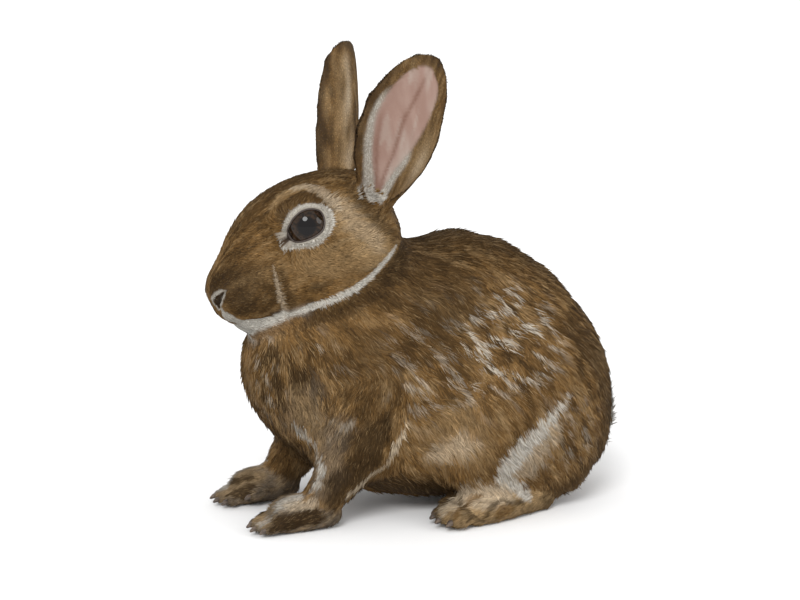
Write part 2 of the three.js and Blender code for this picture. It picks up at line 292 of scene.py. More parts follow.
class Graph:
    """The nodes of one material."""

    def __init__(self, name):
        self.material = bpy.data.materials.new(name)
        self.material.use_nodes = True
        self.tree = self.material.node_tree
        self.shader = self.tree.nodes["Principled BSDF"]

    def node(self, kind, settings, *values, output=0, **named):
        """Makes a node, and returns one of its outputs. A value of None leaves a socket as it is."""
        made = self.tree.nodes.new(kind)
        for key, setting in settings.items():
            setattr(made, key, setting)
        sockets = list(zip(made.inputs, values)) + [(made.inputs[key], value) for key, value in named.items()]
        for socket, value in sockets:
            self.feed(socket, value)
        return Shade(self, made.outputs[output])

    def feed(self, socket, value):
        if isinstance(value, Shade):
            self.tree.links.new(value.socket, socket)
        elif isinstance(value, (tuple, list, np.ndarray)) and socket.type == "RGBA":
            socket.default_value = (*value[:3], 1)
        elif value is not None:
            socket.default_value = value

    def attribute(self, name, output="Fac"):
        return self.node("ShaderNodeAttribute", {"attribute_name": name}, output=output)

    def place(self):
        return self.node("ShaderNodeTexCoord", {}, output="Object")

    def noise(self, scale, detail=2.0, vector=None):
        return self.node("ShaderNodeTexNoise", {}, vector or self.place(), Scale=scale, Detail=detail)

    def mix(self, factor, first, second, blend="MIX"):
        """Colours through a Mix node."""
        settings = {"data_type": "RGBA", "blend_type": blend}
        unused = [None] * 5
        return self.node("ShaderNodeMix", settings, factor, *unused, first, second, output=2)

    def stretched(self, x, y, z):
        """Object places drawn out along some directions."""
        return self.node("ShaderNodeMapping", {}, self.place(), Scale=(x, y, z))

    def finish(self, colour, roughness=None, bump=None, depth=0.0005, **constants):
        self.feed(self.shader.inputs["Base Color"], colour)
        self.feed(self.shader.inputs["Roughness"], roughness)
        if bump is not None:
            made = self.node("ShaderNodeBump", {}, Height=bump, Distance=depth, Strength=1.0)
            self.feed(self.shader.inputs["Normal"], made)
        for key, value in constants.items():
            self.shader.inputs[key.replace("_", " ")].default_value = value
        return self.material


def coat_material(colours):
    """Agouti hair: dark at the root, partly as painted shade, lighter in a band, ticked with dark and pale
    tips.
    """
    g = Graph("agouti_coat")
    base = g.attribute("coat_colour", "Color")
    along = g.attribute("along")
    chance = g.attribute("chance")
    ticking = g.attribute("ticking")
    # Darker towards the root: the grey base of each hair, and painted shade down among the tufts.
    colour = g.mix(1 - along.over(0.0, 0.55), base, (0.30, 0.27, 0.24), "MULTIPLY")
    dark_tip = (1 - chance.over(0.2, 0.32)) * along.over(0.3, 0.95) * ticking
    colour = g.mix(dark_tip, colour, (*colours.dark,))
    pale_tip = chance.over(0.88, 0.97) * along.over(0.2, 0.8) * ticking
    colour = g.mix(pale_tip, colour, (*colours.tan,))
    return g.finish(colour, 0.72, Specular_IOR_Level=0.1)


def skin_material():
    """The hide between the tufts: the coat's colours, deeper as underfur and as painted shade, with the grain
    of short hair.
    """
    g = Graph("hide")
    bare = g.attribute("bare")
    hair = g.noise(1400.0, 3.0, g.stretched(0.35, 1.0, 0.6))
    blotch = g.noise(260.0, 2.0)
    veins = g.noise(120.0, 3.0, g.stretched(1.0, 1.0, 0.25))
    # Painted shade between the tufts, over the darker underfur: the coat's colours made deeper.
    shade = g.mix(0.4 + 0.4 * blotch, (0.32, 0.29, 0.26), (0.9, 0.88, 0.85))
    tint = g.mix(veins.over(0.35, 0.7), (0.86, 0.80, 0.78), (1.0, 1.0, 1.0))
    shade = g.mix(bare, shade, tint)
    colour = g.mix(1.0, g.attribute("coat_colour", "Color"), shade, "MULTIPLY")
    height = (hair + 0.4 * blotch) * (1 - bare) + 0.25 * veins * bare
    return g.finish(colour, 0.6 + 0.2 * hair, height, 0.0004, Specular_IOR_Level=0.2)


def eye_material(name, centre, gaze):
    """A dark brown iris round a wide black pupil, under a wet surface."""
    g = Graph(name)
    from_centre = g.node("ShaderNodeVectorMath", {"operation": "SUBTRACT"}, g.place(), Vector(centre * MM))
    dot = {"operation": "DOT_PRODUCT"}
    facing = g.node("ShaderNodeVectorMath", dot, from_centre, Vector(gaze), output="Value")
    facing = facing / (BALL_RADIUS * MM)
    streaks = g.noise(700.0, 3.0)
    iris = g.mix(streaks.over(0.35, 0.65), (0.007, 0.004, 0.002), (0.030, 0.016, 0.008))
    colour = g.mix(facing.over(0.86, 0.92), iris, (0.003, 0.002, 0.002))
    colour = g.mix(1 - facing.over(0.50, 0.62), colour, (0.006, 0.004, 0.003))
    gloss = {"Coat_Weight": 1.0, "Coat_Roughness": 0.02, "Coat_IOR": 1.34, "Specular_IOR_Level": 0.0}
    return g.finish(colour, 0.3 + 0.1 * streaks, **gloss)


def rim_material():
    """The dark bare edge of the eyelids."""
    g = Graph("bare_lid")
    pores = g.noise(2500.0, 2.0)
    colour = g.mix(pores, (0.018, 0.012, 0.009), (0.06, 0.04, 0.03))
    return g.finish(colour, 0.35 + 0.2 * pores, pores, 0.0001)


def claw_material():
    """Dark horn with a grain along the claw."""
    g = Graph("claw_horn")
    grain = g.noise(900.0, 3.0, g.stretched(0.2, 1.0, 1.0))
    colour = g.mix(grain.over(0.3, 0.7), (0.030, 0.020, 0.014), (0.115, 0.080, 0.055))
    return g.finish(colour, 0.3 + 0.25 * grain, grain, 0.00015)


def floor_material(colour):
    """A plain pale floor."""
    g = Graph("studio_floor")
    speck = g.noise(3.0, 2.0)
    tint = g.mix(speck, tuple(0.985 * c for c in colour), (*colour,))
    return g.finish(tint, 0.9, Specular_IOR_Level=0.0)


# ---- the coat's regions ----
# swell: how far the solid grows to meet its neighbours; depth: from the tips of the coat down to the skin;
# amount: tufts to an area; lift: degrees that a tuft stands up; rounding: how much the solid's facets are
# smoothed; lie: which way the hair runs; colour: the ground.
Coat = namedtuple("Coat", "swell depth length width amount lift rounding lie colour")
COATS = {
    "head": Coat(0.6, 1.5, 4.4, 0.44, 4.2, 10, 16, tuple(HEAD_BACK - 0.22 * HEAD_UP), "brown"),
    "lower_jaw": Coat(0.6, 1.1, 2.6, 0.38, 5.0, 9, 9, tuple(HEAD_BACK - 0.1 * HEAD_UP), "white"),
    "neck": Coat(0.6, 2.6, 8.0, 0.60, 3.3, 10, 45, (0.75, 0, -0.66), "brown"),
    "trunk": Coat(0.6, 2.7, 9.0, 0.64, 2.8, 8.5, 60, (0.72, 0, -0.69), "brown"),
    "tail": Coat(0.6, 3.6, 9.5, 0.70, 4.2, 28, 12, (0.25, 0, 0.97), "white"),
    "ear": Coat(1.5, 0.4, 1.6, 0.32, 3.6, 4, 30, (0.2, 0, 1), "brown"),
    "foreleg": Coat(0.6, 1.8, 6.0, 0.50, 3.4, 12, 26, (-0.35, 0, -0.94), "brown"),
    "forefoot": Coat(0.6, 1.0, 4.4, 0.40, 4.2, 10, 7, (-0.97, 0, -0.25), "grey"),
    "thigh": Coat(0.6, 2.5, 8.5, 0.62, 2.9, 8.5, 45, (0.55, 0, -0.83), "brown"),
    "hind_foot": Coat(0.6, 1.0, 4.8, 0.42, 4.2, 10, 7, (-0.97, 0, -0.2), "tan"),
}


def kind_of(node):
    """A node's name without its side."""
    return node.replace("left_", "").replace("right_", "")


FLESH_KINDS = [kind_of(name) for name in FLESH_NODES]


def of_coat(field, owners):
    """A value of the coat at each point, from the kind of the solid that owns it."""
    return np.array([getattr(COATS[kind], field) for kind in FLESH_KINDS], float)[owners]


def nearest_nodes(points):
    """The index in FLESH_NODES of the solid nearest to each point."""
    places, faces, owners = [], [], []
    for index, name in enumerate(FLESH_NODES):
        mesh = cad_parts[name].data
        start = len(places)
        places.extend(v.co.copy() for v in mesh.vertices)
        faces.extend([start + i for i in p.vertices] for p in mesh.polygons)
        owners.extend([index] * len(mesh.polygons))
    tree = BVHTree.FromPolygons(places, faces)
    owners = np.array(owners)
    return owners[[tree.find_nearest(Vector(p * MM))[2] for p in points]]


LINE_STEP = 1.5


class Surface:
    """The skin as something to draw lines on."""

    def __init__(self, mesh):
        places = [v.co.copy() for v in mesh.vertices]
        self.tree = BVHTree.FromPolygons(places, [p.vertices for p in mesh.polygons])

    def drawn(self, line, head=False):
        """A line of few points on the right side, in short steps that all lie on the skin."""
        line = np.array(line, float)
        if head:
            line = NOSE + from_head(line)
        steps = []
        for start, end in zip(line, line[1:]):
            count = max(2, int(np.linalg.norm(end - start) / LINE_STEP))
            steps.extend(start + (end - start) * i / count for i in range(count))
        steps.append(line[-1])
        return np.array([self.tree.find_nearest(Vector(p * MM))[0] for p in steps]) / MM


def edges_of(mesh):
    """The two ends of every edge, as indices."""
    return read(mesh.edges, "vertices", 2, np.int32)


def blur(values, edges, rounds, share=0.5):
    """Each value drawn towards its neighbours' mean, so many times over."""
    values = np.array(values, float)
    flat = values.reshape(len(values), -1)
    count = np.maximum(np.bincount(edges.ravel(), minlength=len(flat)), 1)
    share = np.broadcast_to(share, len(flat))
    first, second = edges[:, 0], edges[:, 1]
    for _ in range(rounds):
        for column in range(flat.shape[1]):
            v = flat[:, column]
            total = np.bincount(first, v[second], len(v)) + np.bincount(second, v[first], len(v))
            flat[:, column] = v + share * (total / count - v)
    return flat.reshape(values.shape)


# ---- ears ----
# The opening faces outwards and forwards. Its edges are curves of a degree, fitted to slices of the solid.
EAR_OPENING = math.radians(42)
EAR_SLICES = 12
EDGE_DEGREE = 4
TIP_GROWTH = 1.4
FRONT_GROWTH = 1.3


class Ear:
    """Directions and edges of one ear, from its solid."""

    def __init__(self, side_name):
        side = SIDES[side_name]
        places = read(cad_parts[side_name + "_ear"].data.vertices, "co").astype(float) / MM
        order = places[:, 2].argsort()
        self.root = places[order[: len(order) // 10]].mean(0)
        tip = places[order[-1]]
        self.length = np.linalg.norm(tip - self.root)
        self.axis = (tip - self.root) / self.length
        opening = np.array((-math.sin(EAR_OPENING), side * math.cos(EAR_OPENING), 0.2))
        self.opening = unit(opening - (opening @ self.axis) * self.axis)
        self.across = np.cross(self.opening, self.axis) * side
        rise, sideways = self.raw(places)
        levels = (np.arange(EAR_SLICES) + 0.5) / EAR_SLICES
        slices = [sideways[np.abs(rise - level) < 1 / EAR_SLICES] for level in levels]
        self.low = np.polyfit(levels, [piece.min() for piece in slices], EDGE_DEGREE)
        self.high = np.polyfit(levels, [piece.max() for piece in slices], EDGE_DEGREE)

    def raw(self, points):
        """How far up the ear points are (0 to 1), and how far across it in millimetres."""
        return (points - self.root) @ self.axis / self.length, (points - self.root) @ self.across

    def growth(self, points, on_ear):
        """Moves that make up for the thin edge that the rounding takes off the tip and the front edge."""
        rise, sideways = self.raw(points)
        middle = np.polyval((self.low + self.high) / 2, np.clip(rise, 0, 1))
        upwards = TIP_GROWTH * smooth_step(rise, 0.6, 1.0)
        forwards = FRONT_GROWTH * smooth_step(middle - sideways, 2, 9) * smooth_step(rise, 0.2, 0.5)
        return on_ear[:, None] * (upwards[:, None] * self.axis - forwards[:, None] * self.across)

    def places(self, points, normals):
        """How far up the ear (0 to 1), how far across it (-1 front edge, 1 back edge), and whether inside."""
        rise, sideways = self.raw(points)
        level = np.clip(rise, 0, 1)
        low, high = np.polyval(self.low, level), np.polyval(self.high, level)
        middle = self.root + rise[:, None] * self.length * self.axis + 5 * self.opening
        inside = ((middle - points) * normals).sum(1) > 0
        return rise, 2 * (sideways - low) / (high - low) - 1, inside


EARS = {FLESH_NODES.index(side_name + "_ear"): Ear(side_name) for side_name in SIDES}


def on_ears(owners):
    """Each ear, with which of the points are on it."""
    return [(ear, owners == index) for index, ear in EARS.items()]


# ---- eyelids ----
# Outlines round the gaze: directions in degrees, from the back of the eye over its top, and distances from
# the gaze. The front corner of the dark edge is low and pointed, and reaches past the eyeball.
DARK_EDGE = [
    (10, 10.2), (38, 9.0), (66, 8.1), (99, 7.6), (132, 8.4), (150, 9.8), (167, 11.4), (178, 12.5),
    (190, 10.7), (212, 8.4), (228, 7.2), (244, 6.6), (265, 6.5), (286, 7.0), (312, 8.5), (345, 9.5),
]
RING_EDGE = [
    (8, 14.4), (37, 12.4), (62, 11.7), (90, 11.6), (123, 12.1), (151, 13.4), (168, 15.8), (182, 19.2),
    (193, 16.6), (203, 14.2), (228, 11.8), (255, 11.6), (287, 11.9), (313, 13.5), (330, 14.9), (350, 15.4),
]
WIDEST_OPENING = 10.6
ROUND_EYE = 2.2 * BALL_RADIUS
BEHIND_EYE = -0.3 * BALL_RADIUS
LID_ROUNDING = np.radians((-5, 0, 5))
LID_TILT = math.radians(15)
GAZE_ON_HEAD = np.array((-0.30, 1.0, 0.22))


class Lids:
    """The almond of one eye: its middle direction, and the directions along and across it."""

    def __init__(self, side_name):
        side = SIDES[side_name]
        self.side_name = side_name
        self.centre = EYE_CENTRES[side_name]
        self.gaze = unit(from_head(GAZE_ON_HEAD * (1, side, 1)))
        slope = from_head(np.array((math.cos(LID_TILT), 0, math.sin(LID_TILT))))
        self.along = unit(slope - (slope @ self.gaze) * self.gaze)
        self.up = np.cross(self.gaze, self.along) * -side

    def turn_of(self, points):
        """The direction of points round the gaze."""
        away = points - self.centre
        return np.arctan2(away @ self.up, away @ self.along)

    def outline(self, edge, turn):
        """How far an outline is from the gaze, in a direction round it."""
        directions, distances = np.array(edge).T
        directions = np.radians(directions)
        turns = [turn + shift for shift in LID_ROUNDING]
        return sum(np.interp(t, directions, distances, period=2 * math.pi) for t in turns) / len(turns)

    def past(self, points, edge):
        """How far points are outside an outline, as seen along the gaze; less than 0 within it."""
        away = points - self.centre
        from_gaze = np.linalg.norm(away - (away @ self.gaze)[:, None] * self.gaze, axis=1)
        near = (np.linalg.norm(away, axis=1) < ROUND_EYE) & (away @ self.gaze > BEHIND_EYE)
        return np.where(near, from_gaze - self.outline(edge, self.turn_of(points)), FAR)

    def edge_angle(self, turn):
        """The angle from the gaze to the edge of the lids."""
        return np.arcsin(np.minimum(self.outline(DARK_EDGE, turn), WIDEST_OPENING) / BALL_RADIUS)

    def gap(self, points):
        """How far points are outside the edge of the lids, round the eyeball; less than 0 between them."""
        away = unit(points - self.centre)
        angle = np.arccos(np.clip(away @ self.gaze, -1, 1))
        gap = (angle - self.edge_angle(self.turn_of(points))) * BALL_RADIUS
        near = np.linalg.norm(points - self.centre, axis=1) < ROUND_EYE
        return np.where(near, gap, FAR)

    def edge(self, turn, radius):
        """A point on the edge of the lids, at a radius from the eyeball's centre."""
        angle = self.edge_angle(turn)
        sideways = self.along * math.cos(turn) + self.up * math.sin(turn)
        return self.centre + radius * (math.cos(angle) * self.gaze + math.sin(angle) * sideways)


EYELIDS = [Lids(side_name) for side_name in SIDES]


# ---- shape of the face ----
NOSTRIL = [(7.7, 13.8, 3.8), (5.7, 13.3, 2.5), (3.8, 12.2, 0.9), (2.4, 10.3, -1.2), (1.7, 8.2, -3.0)]
PHILTRUM = [(-1.0, 0, -2.0), (0.5, 0, -9.0), (4.5, 0, -13.5)]
MOUTH = [(4.5, 0, -13.5), (7.0, 8.0, -13.0), (14.0, 13.5, -15.5), (26.0, 15.5, -18.5)]
CHEEK_FOLD = [(33.5, 19.0, 9.0), (31.0, 20.5, -5.0), (31.0, 15.5, -20.0)]
NOSE_WING = [(10.0, 13.0, 7.6), (5.0, 10.6, 5.4), (1.0, 6.4, 1.6)]
WHISKER_PAD = [(27.0, 19.0, 4.0), (24.0, 18.0, -8.0), (20.0, 16.0, -13.0)]
UPPER_LIP = [(4.0, 4.5, -9.0), (9.0, 10.0, -11.0)]
BROW = [(46.0, 19.0, 33.0), (60.0, 20.0, 37.0), (76.0, 24.0, 32.0)]
TEAR_HOLLOW = [(40.0, 18.5, 14.0), (36.0, 17.5, 16.0)]
# Lines that are pressed in, or raised where the depth is negative: line, depth, half width.
FACE_LINES = [
    (NOSTRIL, 2.2, 0.9),
    (NOSTRIL[2:], 1.6, 1.9),
    (NOSE_WING, -0.7, 1.7),
    (PHILTRUM, 1.5, 0.8),
    (MOUTH, 1.3, 0.8),
    (CHEEK_FOLD, 1.2, 1.8),
    (WHISKER_PAD, -1.2, 5.0),
    (UPPER_LIP, -0.7, 3.2),
    (BROW, -1.3, 3.5),
    (TEAR_HOLLOW, 0.8, 2.0),
]


def shaped_face(points, normals, surface):
    """Skin points round the face, with nostrils, mouth, folds and brows pressed in or raised."""
    push = np.zeros(len(points))
    for line, depth, half_width in FACE_LINES:
        gap = distance_to_line(mirrored(points), surface.drawn(line, head=True))[0]
        push -= depth * band(gap, 0, half_width)
    return points + push[:, None] * normals


# Distances outside the edge of the lids: where they begin and have their full thickness, where they begin to
# meet the face and have met it, and where their crease is and its half width.
LID_BEGINS, LID_FULL = -0.2, 1.4
FACE_BEGINS, FACE_FULL = 1.5, 7.0
CREASE, CREASE_WIDTH = 2.6, 0.8
CREASE_DEPTH = 0.35
LID_CLEARANCE = 0.1
SUNK = 1.6


def lidded(points, body):
    """Skin points round the eyes, drawn down to the eyeball as lids and sunk behind it between them."""
    lid = body.lid / MM
    for lids in EYELIDS:
        away = points - lids.centre
        natural = np.linalg.norm(away, axis=1)
        gap = lids.gap(points)
        crease = CREASE_DEPTH * band(gap, CREASE, CREASE_WIDTH)
        margin = BALL_RADIUS + LID_CLEARANCE + lid * smooth_step(gap, LID_BEGINS, LID_FULL) - crease
        wanted = margin + (natural - margin) * smooth_step(gap, FACE_BEGINS, FACE_FULL)
        wanted = np.where(gap < LID_BEGINS, BALL_RADIUS - SUNK, wanted)
        facing = away @ lids.gaze > BEHIND_EYE
        radius = np.where((gap < FAR) & facing, wanted, natural)
        points = lids.centre + away / natural[:, None] * radius[:, None]
    return points


# ---- the skin's mesh ----
def finished(work, name):
    """A new mesh made from a bmesh, which is then freed."""
    mesh = bpy.data.meshes.new(name)
    work.to_mesh(mesh)
    work.free()
    return mesh


def swollen_copy(mesh, amount):
    """A merged copy of a solid, grown by an amount along its normals."""
    copy = bmesh.new()
    copy.from_mesh(mesh)
    bmesh.ops.remove_doubles(copy, verts=copy.verts, dist=1e-6)
    copy.normal_update()
    moves = [v.normal * amount for v in copy.verts]
    for v, move in zip(copy.verts, moves):
        v.co += move
    return copy


EYE_SWELL = 0.6


def one_body(nodes, grain):
    """The named solids fused into one closed mesh with an even grain."""
    fused = bmesh.new()
    for name in nodes:
        swell = EYE_SWELL if name in EYE_NODES else COATS[kind_of(name)].swell
        holder = finished(swollen_copy(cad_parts[name].data, swell * MM), name + "_copy")
        fused.from_mesh(holder)
        bpy.data.meshes.remove(holder)
    mesh = finished(fused, "fused")
    body = placed("fused", mesh)
    remesh = body.modifiers.new("remesh", "REMESH")
    remesh.mode = "VOXEL"
    remesh.voxel_size = grain
    remesh.use_smooth_shade = True
    depsgraph = bpy.context.evaluated_depsgraph_get()
    made = bpy.data.meshes.new_from_object(body.evaluated_get(depsgraph), depsgraph=depsgraph)
    bpy.data.objects.remove(body)
    bpy.data.meshes.remove(mesh)
    keep_largest_shell(made)
    return made


def keep_largest_shell(mesh):
    """Deletes the bubbles left inside the body."""
    work = bmesh.new()
    work.from_mesh(mesh)
    left = set(work.verts)
    shells = []
    while left:
        shell = [left.pop()]
        for v in shell:
            near = {e.other_vert(v) for e in v.link_edges} & left
            left -= near
            shell.extend(near)
        shells.append(shell)
    shells.sort(key=len)
    for shell in shells[:-1]:
        bmesh.ops.delete(work, geom=shell, context="VERTS")
    work.to_mesh(mesh)
    work.free()


def set_places(mesh, points):
    """Moves a mesh's points to places in millimetres."""
    mesh.vertices.foreach_set("co", (points * MM).astype(np.float32).ravel())
    mesh.update()


def places_of(mesh):
    """A mesh's points in millimetres, and their normals."""
    return read(mesh.vertices, "co").astype(float) / MM, read(mesh.vertex_normals, "vector").astype(float)


# Rounding shrinks narrow parts, those rounded less than NARROW. What they lose is spread out by so many
# rounds of blur, and given back.
SPREAD = 14
NARROW = 40


def rounded_off(points, edges, owners):
    """Points of the solids with their facets smoothed away."""
    rounding = blur(of_coat("rounding", owners), edges, rounds=6)
    most = int(rounding.max())
    rounded = blur(points, edges, most, 0.5 * rounding / most)
    narrow = blur((rounding < NARROW).astype(float), edges, rounds=10)
    points = rounded + narrow[:, None] * blur(points - rounded, edges, SPREAD)
    for ear, on_ear in on_ears(owners):
        points += ear.growth(points, on_ear)
    return points


# The faces round these places, out to these distances, are made finer by so many cuts to an edge.
MUZZLE = NOSE + 13 * HEAD_BACK - 4 * HEAD_UP
FINE_BALLS = [(centre, 18.5) for centre in EYE_CENTRES.values()] + [(MUZZLE, 22.0)]
FINE_CUTS = 2
FINE_FADE = 3


def refine(mesh):
    """Cuts the faces round the eyes and muzzle more finely, and rounds them off."""
    work = bmesh.new()
    work.from_mesh(mesh)
    for centre, radius in FINE_BALLS:
        middle = Vector(centre * MM)
        edges = [e for e in work.edges if max((v.co - middle).length for v in e.verts) < radius * MM]
        bmesh.ops.subdivide_edges(work, edges=edges, cuts=FINE_CUTS, use_grid_fill=True)
    work.to_mesh(mesh)
    work.free()
    points, _ = places_of(mesh)
    fine = np.zeros(len(points))
    for centre, radius in FINE_BALLS:
        distance = np.linalg.norm(points - centre, axis=1)
        fine = np.maximum(fine, fading(distance, radius - FINE_FADE, radius))
    set_places(mesh, blur(points, edges_of(mesh), rounds=8, share=0.5 * fine))


SHALLOWEST = 0.25
SOLE = 0.9


def build_skin(body):
    """One skin for the whole rabbit, inside the solids by the depth of the coat."""
    mesh = one_body(FLESH_NODES + EYE_NODES, body.grain)
    edges = edges_of(mesh)
    points, _ = places_of(mesh)
    owners = nearest_nodes(points)
    set_places(mesh, rounded_off(points, edges, owners))
    points, normals = places_of(mesh)
    depth = blur(of_coat("depth", owners) + of_coat("swell", owners), edges, rounds=8)
    depth *= at_least(SHALLOWEST, shortened(points))
    set_places(mesh, blur(points - normals * depth[:, None], edges, rounds=4))
    refine(mesh)
    points, normals = places_of(mesh)
    points = lidded(shaped_face(points, normals, Surface(mesh)), body)
    points[:, 2] = np.maximum(points[:, 2], SOLE)
    set_places(mesh, points)
    return mesh


# ---- markings, and painted shade ----
# A mark is a line on the skin of the right side, and its mirror image: half widths at its start and end,
# how far its edge fades, and its strength. Marks on the head are in the head's directions. Some of the dark
# and brown marks are painted shade, where the rabbit's own shade falls.
Mark = namedtuple("Mark", "colour line widths fade strength")
JAW_LINE = [
    (36, 16.3, -20.5), (43, 17.9, -20.4), (50, 23.4, -19.9), (60.4, 27.9, -19.4), (69.2, 29, -18.4),
    (77.6, 29.5, -16.2), (85.5, 30.2, -12.5), (93, 30, -8.1), (98.7, 28.2, -5.8),
]
HEAD_MARKS_AND_SHADE = [
    # Darker along the crown: partly the coat's own darker top, partly painted shade along the head's outline.
    Mark("dark", [(28, 0, 34), (52, 0, 43), (74, 0, 43), (96, 0, 38)], (6, 8), 10, 0.55),
    Mark("tan", [(78, 25, 26), (80, 27.6, 18), (84, 30, 9), (87, 31, 0), (90, 31, -6)], (5, 6), 9, 0.7),
    Mark("cream", [(78, 24.5, 27), (80.5, 27.6, 18), (84.5, 30, 9), (88, 31, 0)], (2, 4), 6, 0.35),
    Mark("tan", [(52, 26, 2), (66, 29, 0), (80, 30, -2)], (3, 5), 9, 0.4),
    Mark("dark", [(6, 10, 9), (20, 16, 4), (24, 17, -8)], (7, 8), 12, 0.6),
    Mark("dark", [(15, 16, 2), (13.5, 16, -2), (12.5, 15.5, -7)], (3.5, 4.5), 5, 0.65),
    Mark("dark", [(2.5, 7.5, 7), (9.5, 12, 9.5), (15.5, 14, 9.8)], (3, 2.5), 4, 0.65),
    # Dark just behind the cheek fold: painted shade in the fold.
    Mark("dark", [(37, 20.8, 5), (36, 21.5, -3), (35.5, 21, -10), (37, 19, -15)], (1.2, 2.4), 4.0, 0.55),
    Mark("cream", [(34.3, 19.5, 7.5), (33.4, 20.3, 1), (32.6, 20.8, -5.3), (31.8, 19.8, -11.5),
                   (33, 17.8, -16)], (0.6, 1.5), 1.5, 0.65),
    Mark("dark", [(47.8, 18.7, 27.8), (49.6, 16.8, 32), (55.4, 16.3, 35.5), (61.2, 17.1, 36.1),
                  (66.9, 18.9, 34.6), (71.8, 21.9, 30.2), (73.4, 25.3, 25)], (3.0, 1.4), 2.2, 0.65),
    Mark("tan", [(46, 13, 36.5), (52.7, 10.8, 39.2), (58.8, 11.2, 40.2), (66, 12.6, 39.6)],
         (1.0, 1.5), 2.0, 0.7),
    Mark("cream", [(61, 11, 40.3), (66, 12.8, 39.4), (71, 16.5, 37), (75, 21.3, 31), (77, 25.2, 25.4)],
         (1.0, 2.2), 2.0, 0.6),
    Mark("dark", [(89, 16, 33), (90, 24.5, 22), (94, 28.5, 9), (100.5, 28, -4)], (3.0, 1.8), 3.0, 0.6),
    Mark("white", [(98.4, 18.2, 27.6), (98, 20.2, 24.8), (98.4, 22, 21.5), (98.8, 23.8, 19)],
         (3.1, 3.5), 1.2, 1.0),
    # Dark on the neck under the jaw: painted shadow of the head.
    Mark("dark", [(38, 19, -27), (62, 28, -27), (86, 30, -21), (106, 20, -12)], (3.2, 5), 6, 0.7),
    Mark("brown", [(14, 6, -27), (26, 14, -28), (40, 16, -28)], (1.5, 2.5), 2, 0.8),
    Mark("white", JAW_LINE, (1.8, 1.2), 0.9, 1.0),
    Mark("white", [(2.8, 10.6, -5), (4.6, 10.6, -10), (10.5, 10, -16.6), (17, 12, -19.5), (24, 13.2, -20.4),
                   (31, 15.8, -19.4), (36, 16.3, -20.5)], (2.6, 2.3), 1.0, 0.95),
    Mark("white", NOSTRIL, (1.7, 4.0), 0.8, 0.85),
    Mark("dark", NOSTRIL, (0.4, 2.2), 0.4, 1.0),
]
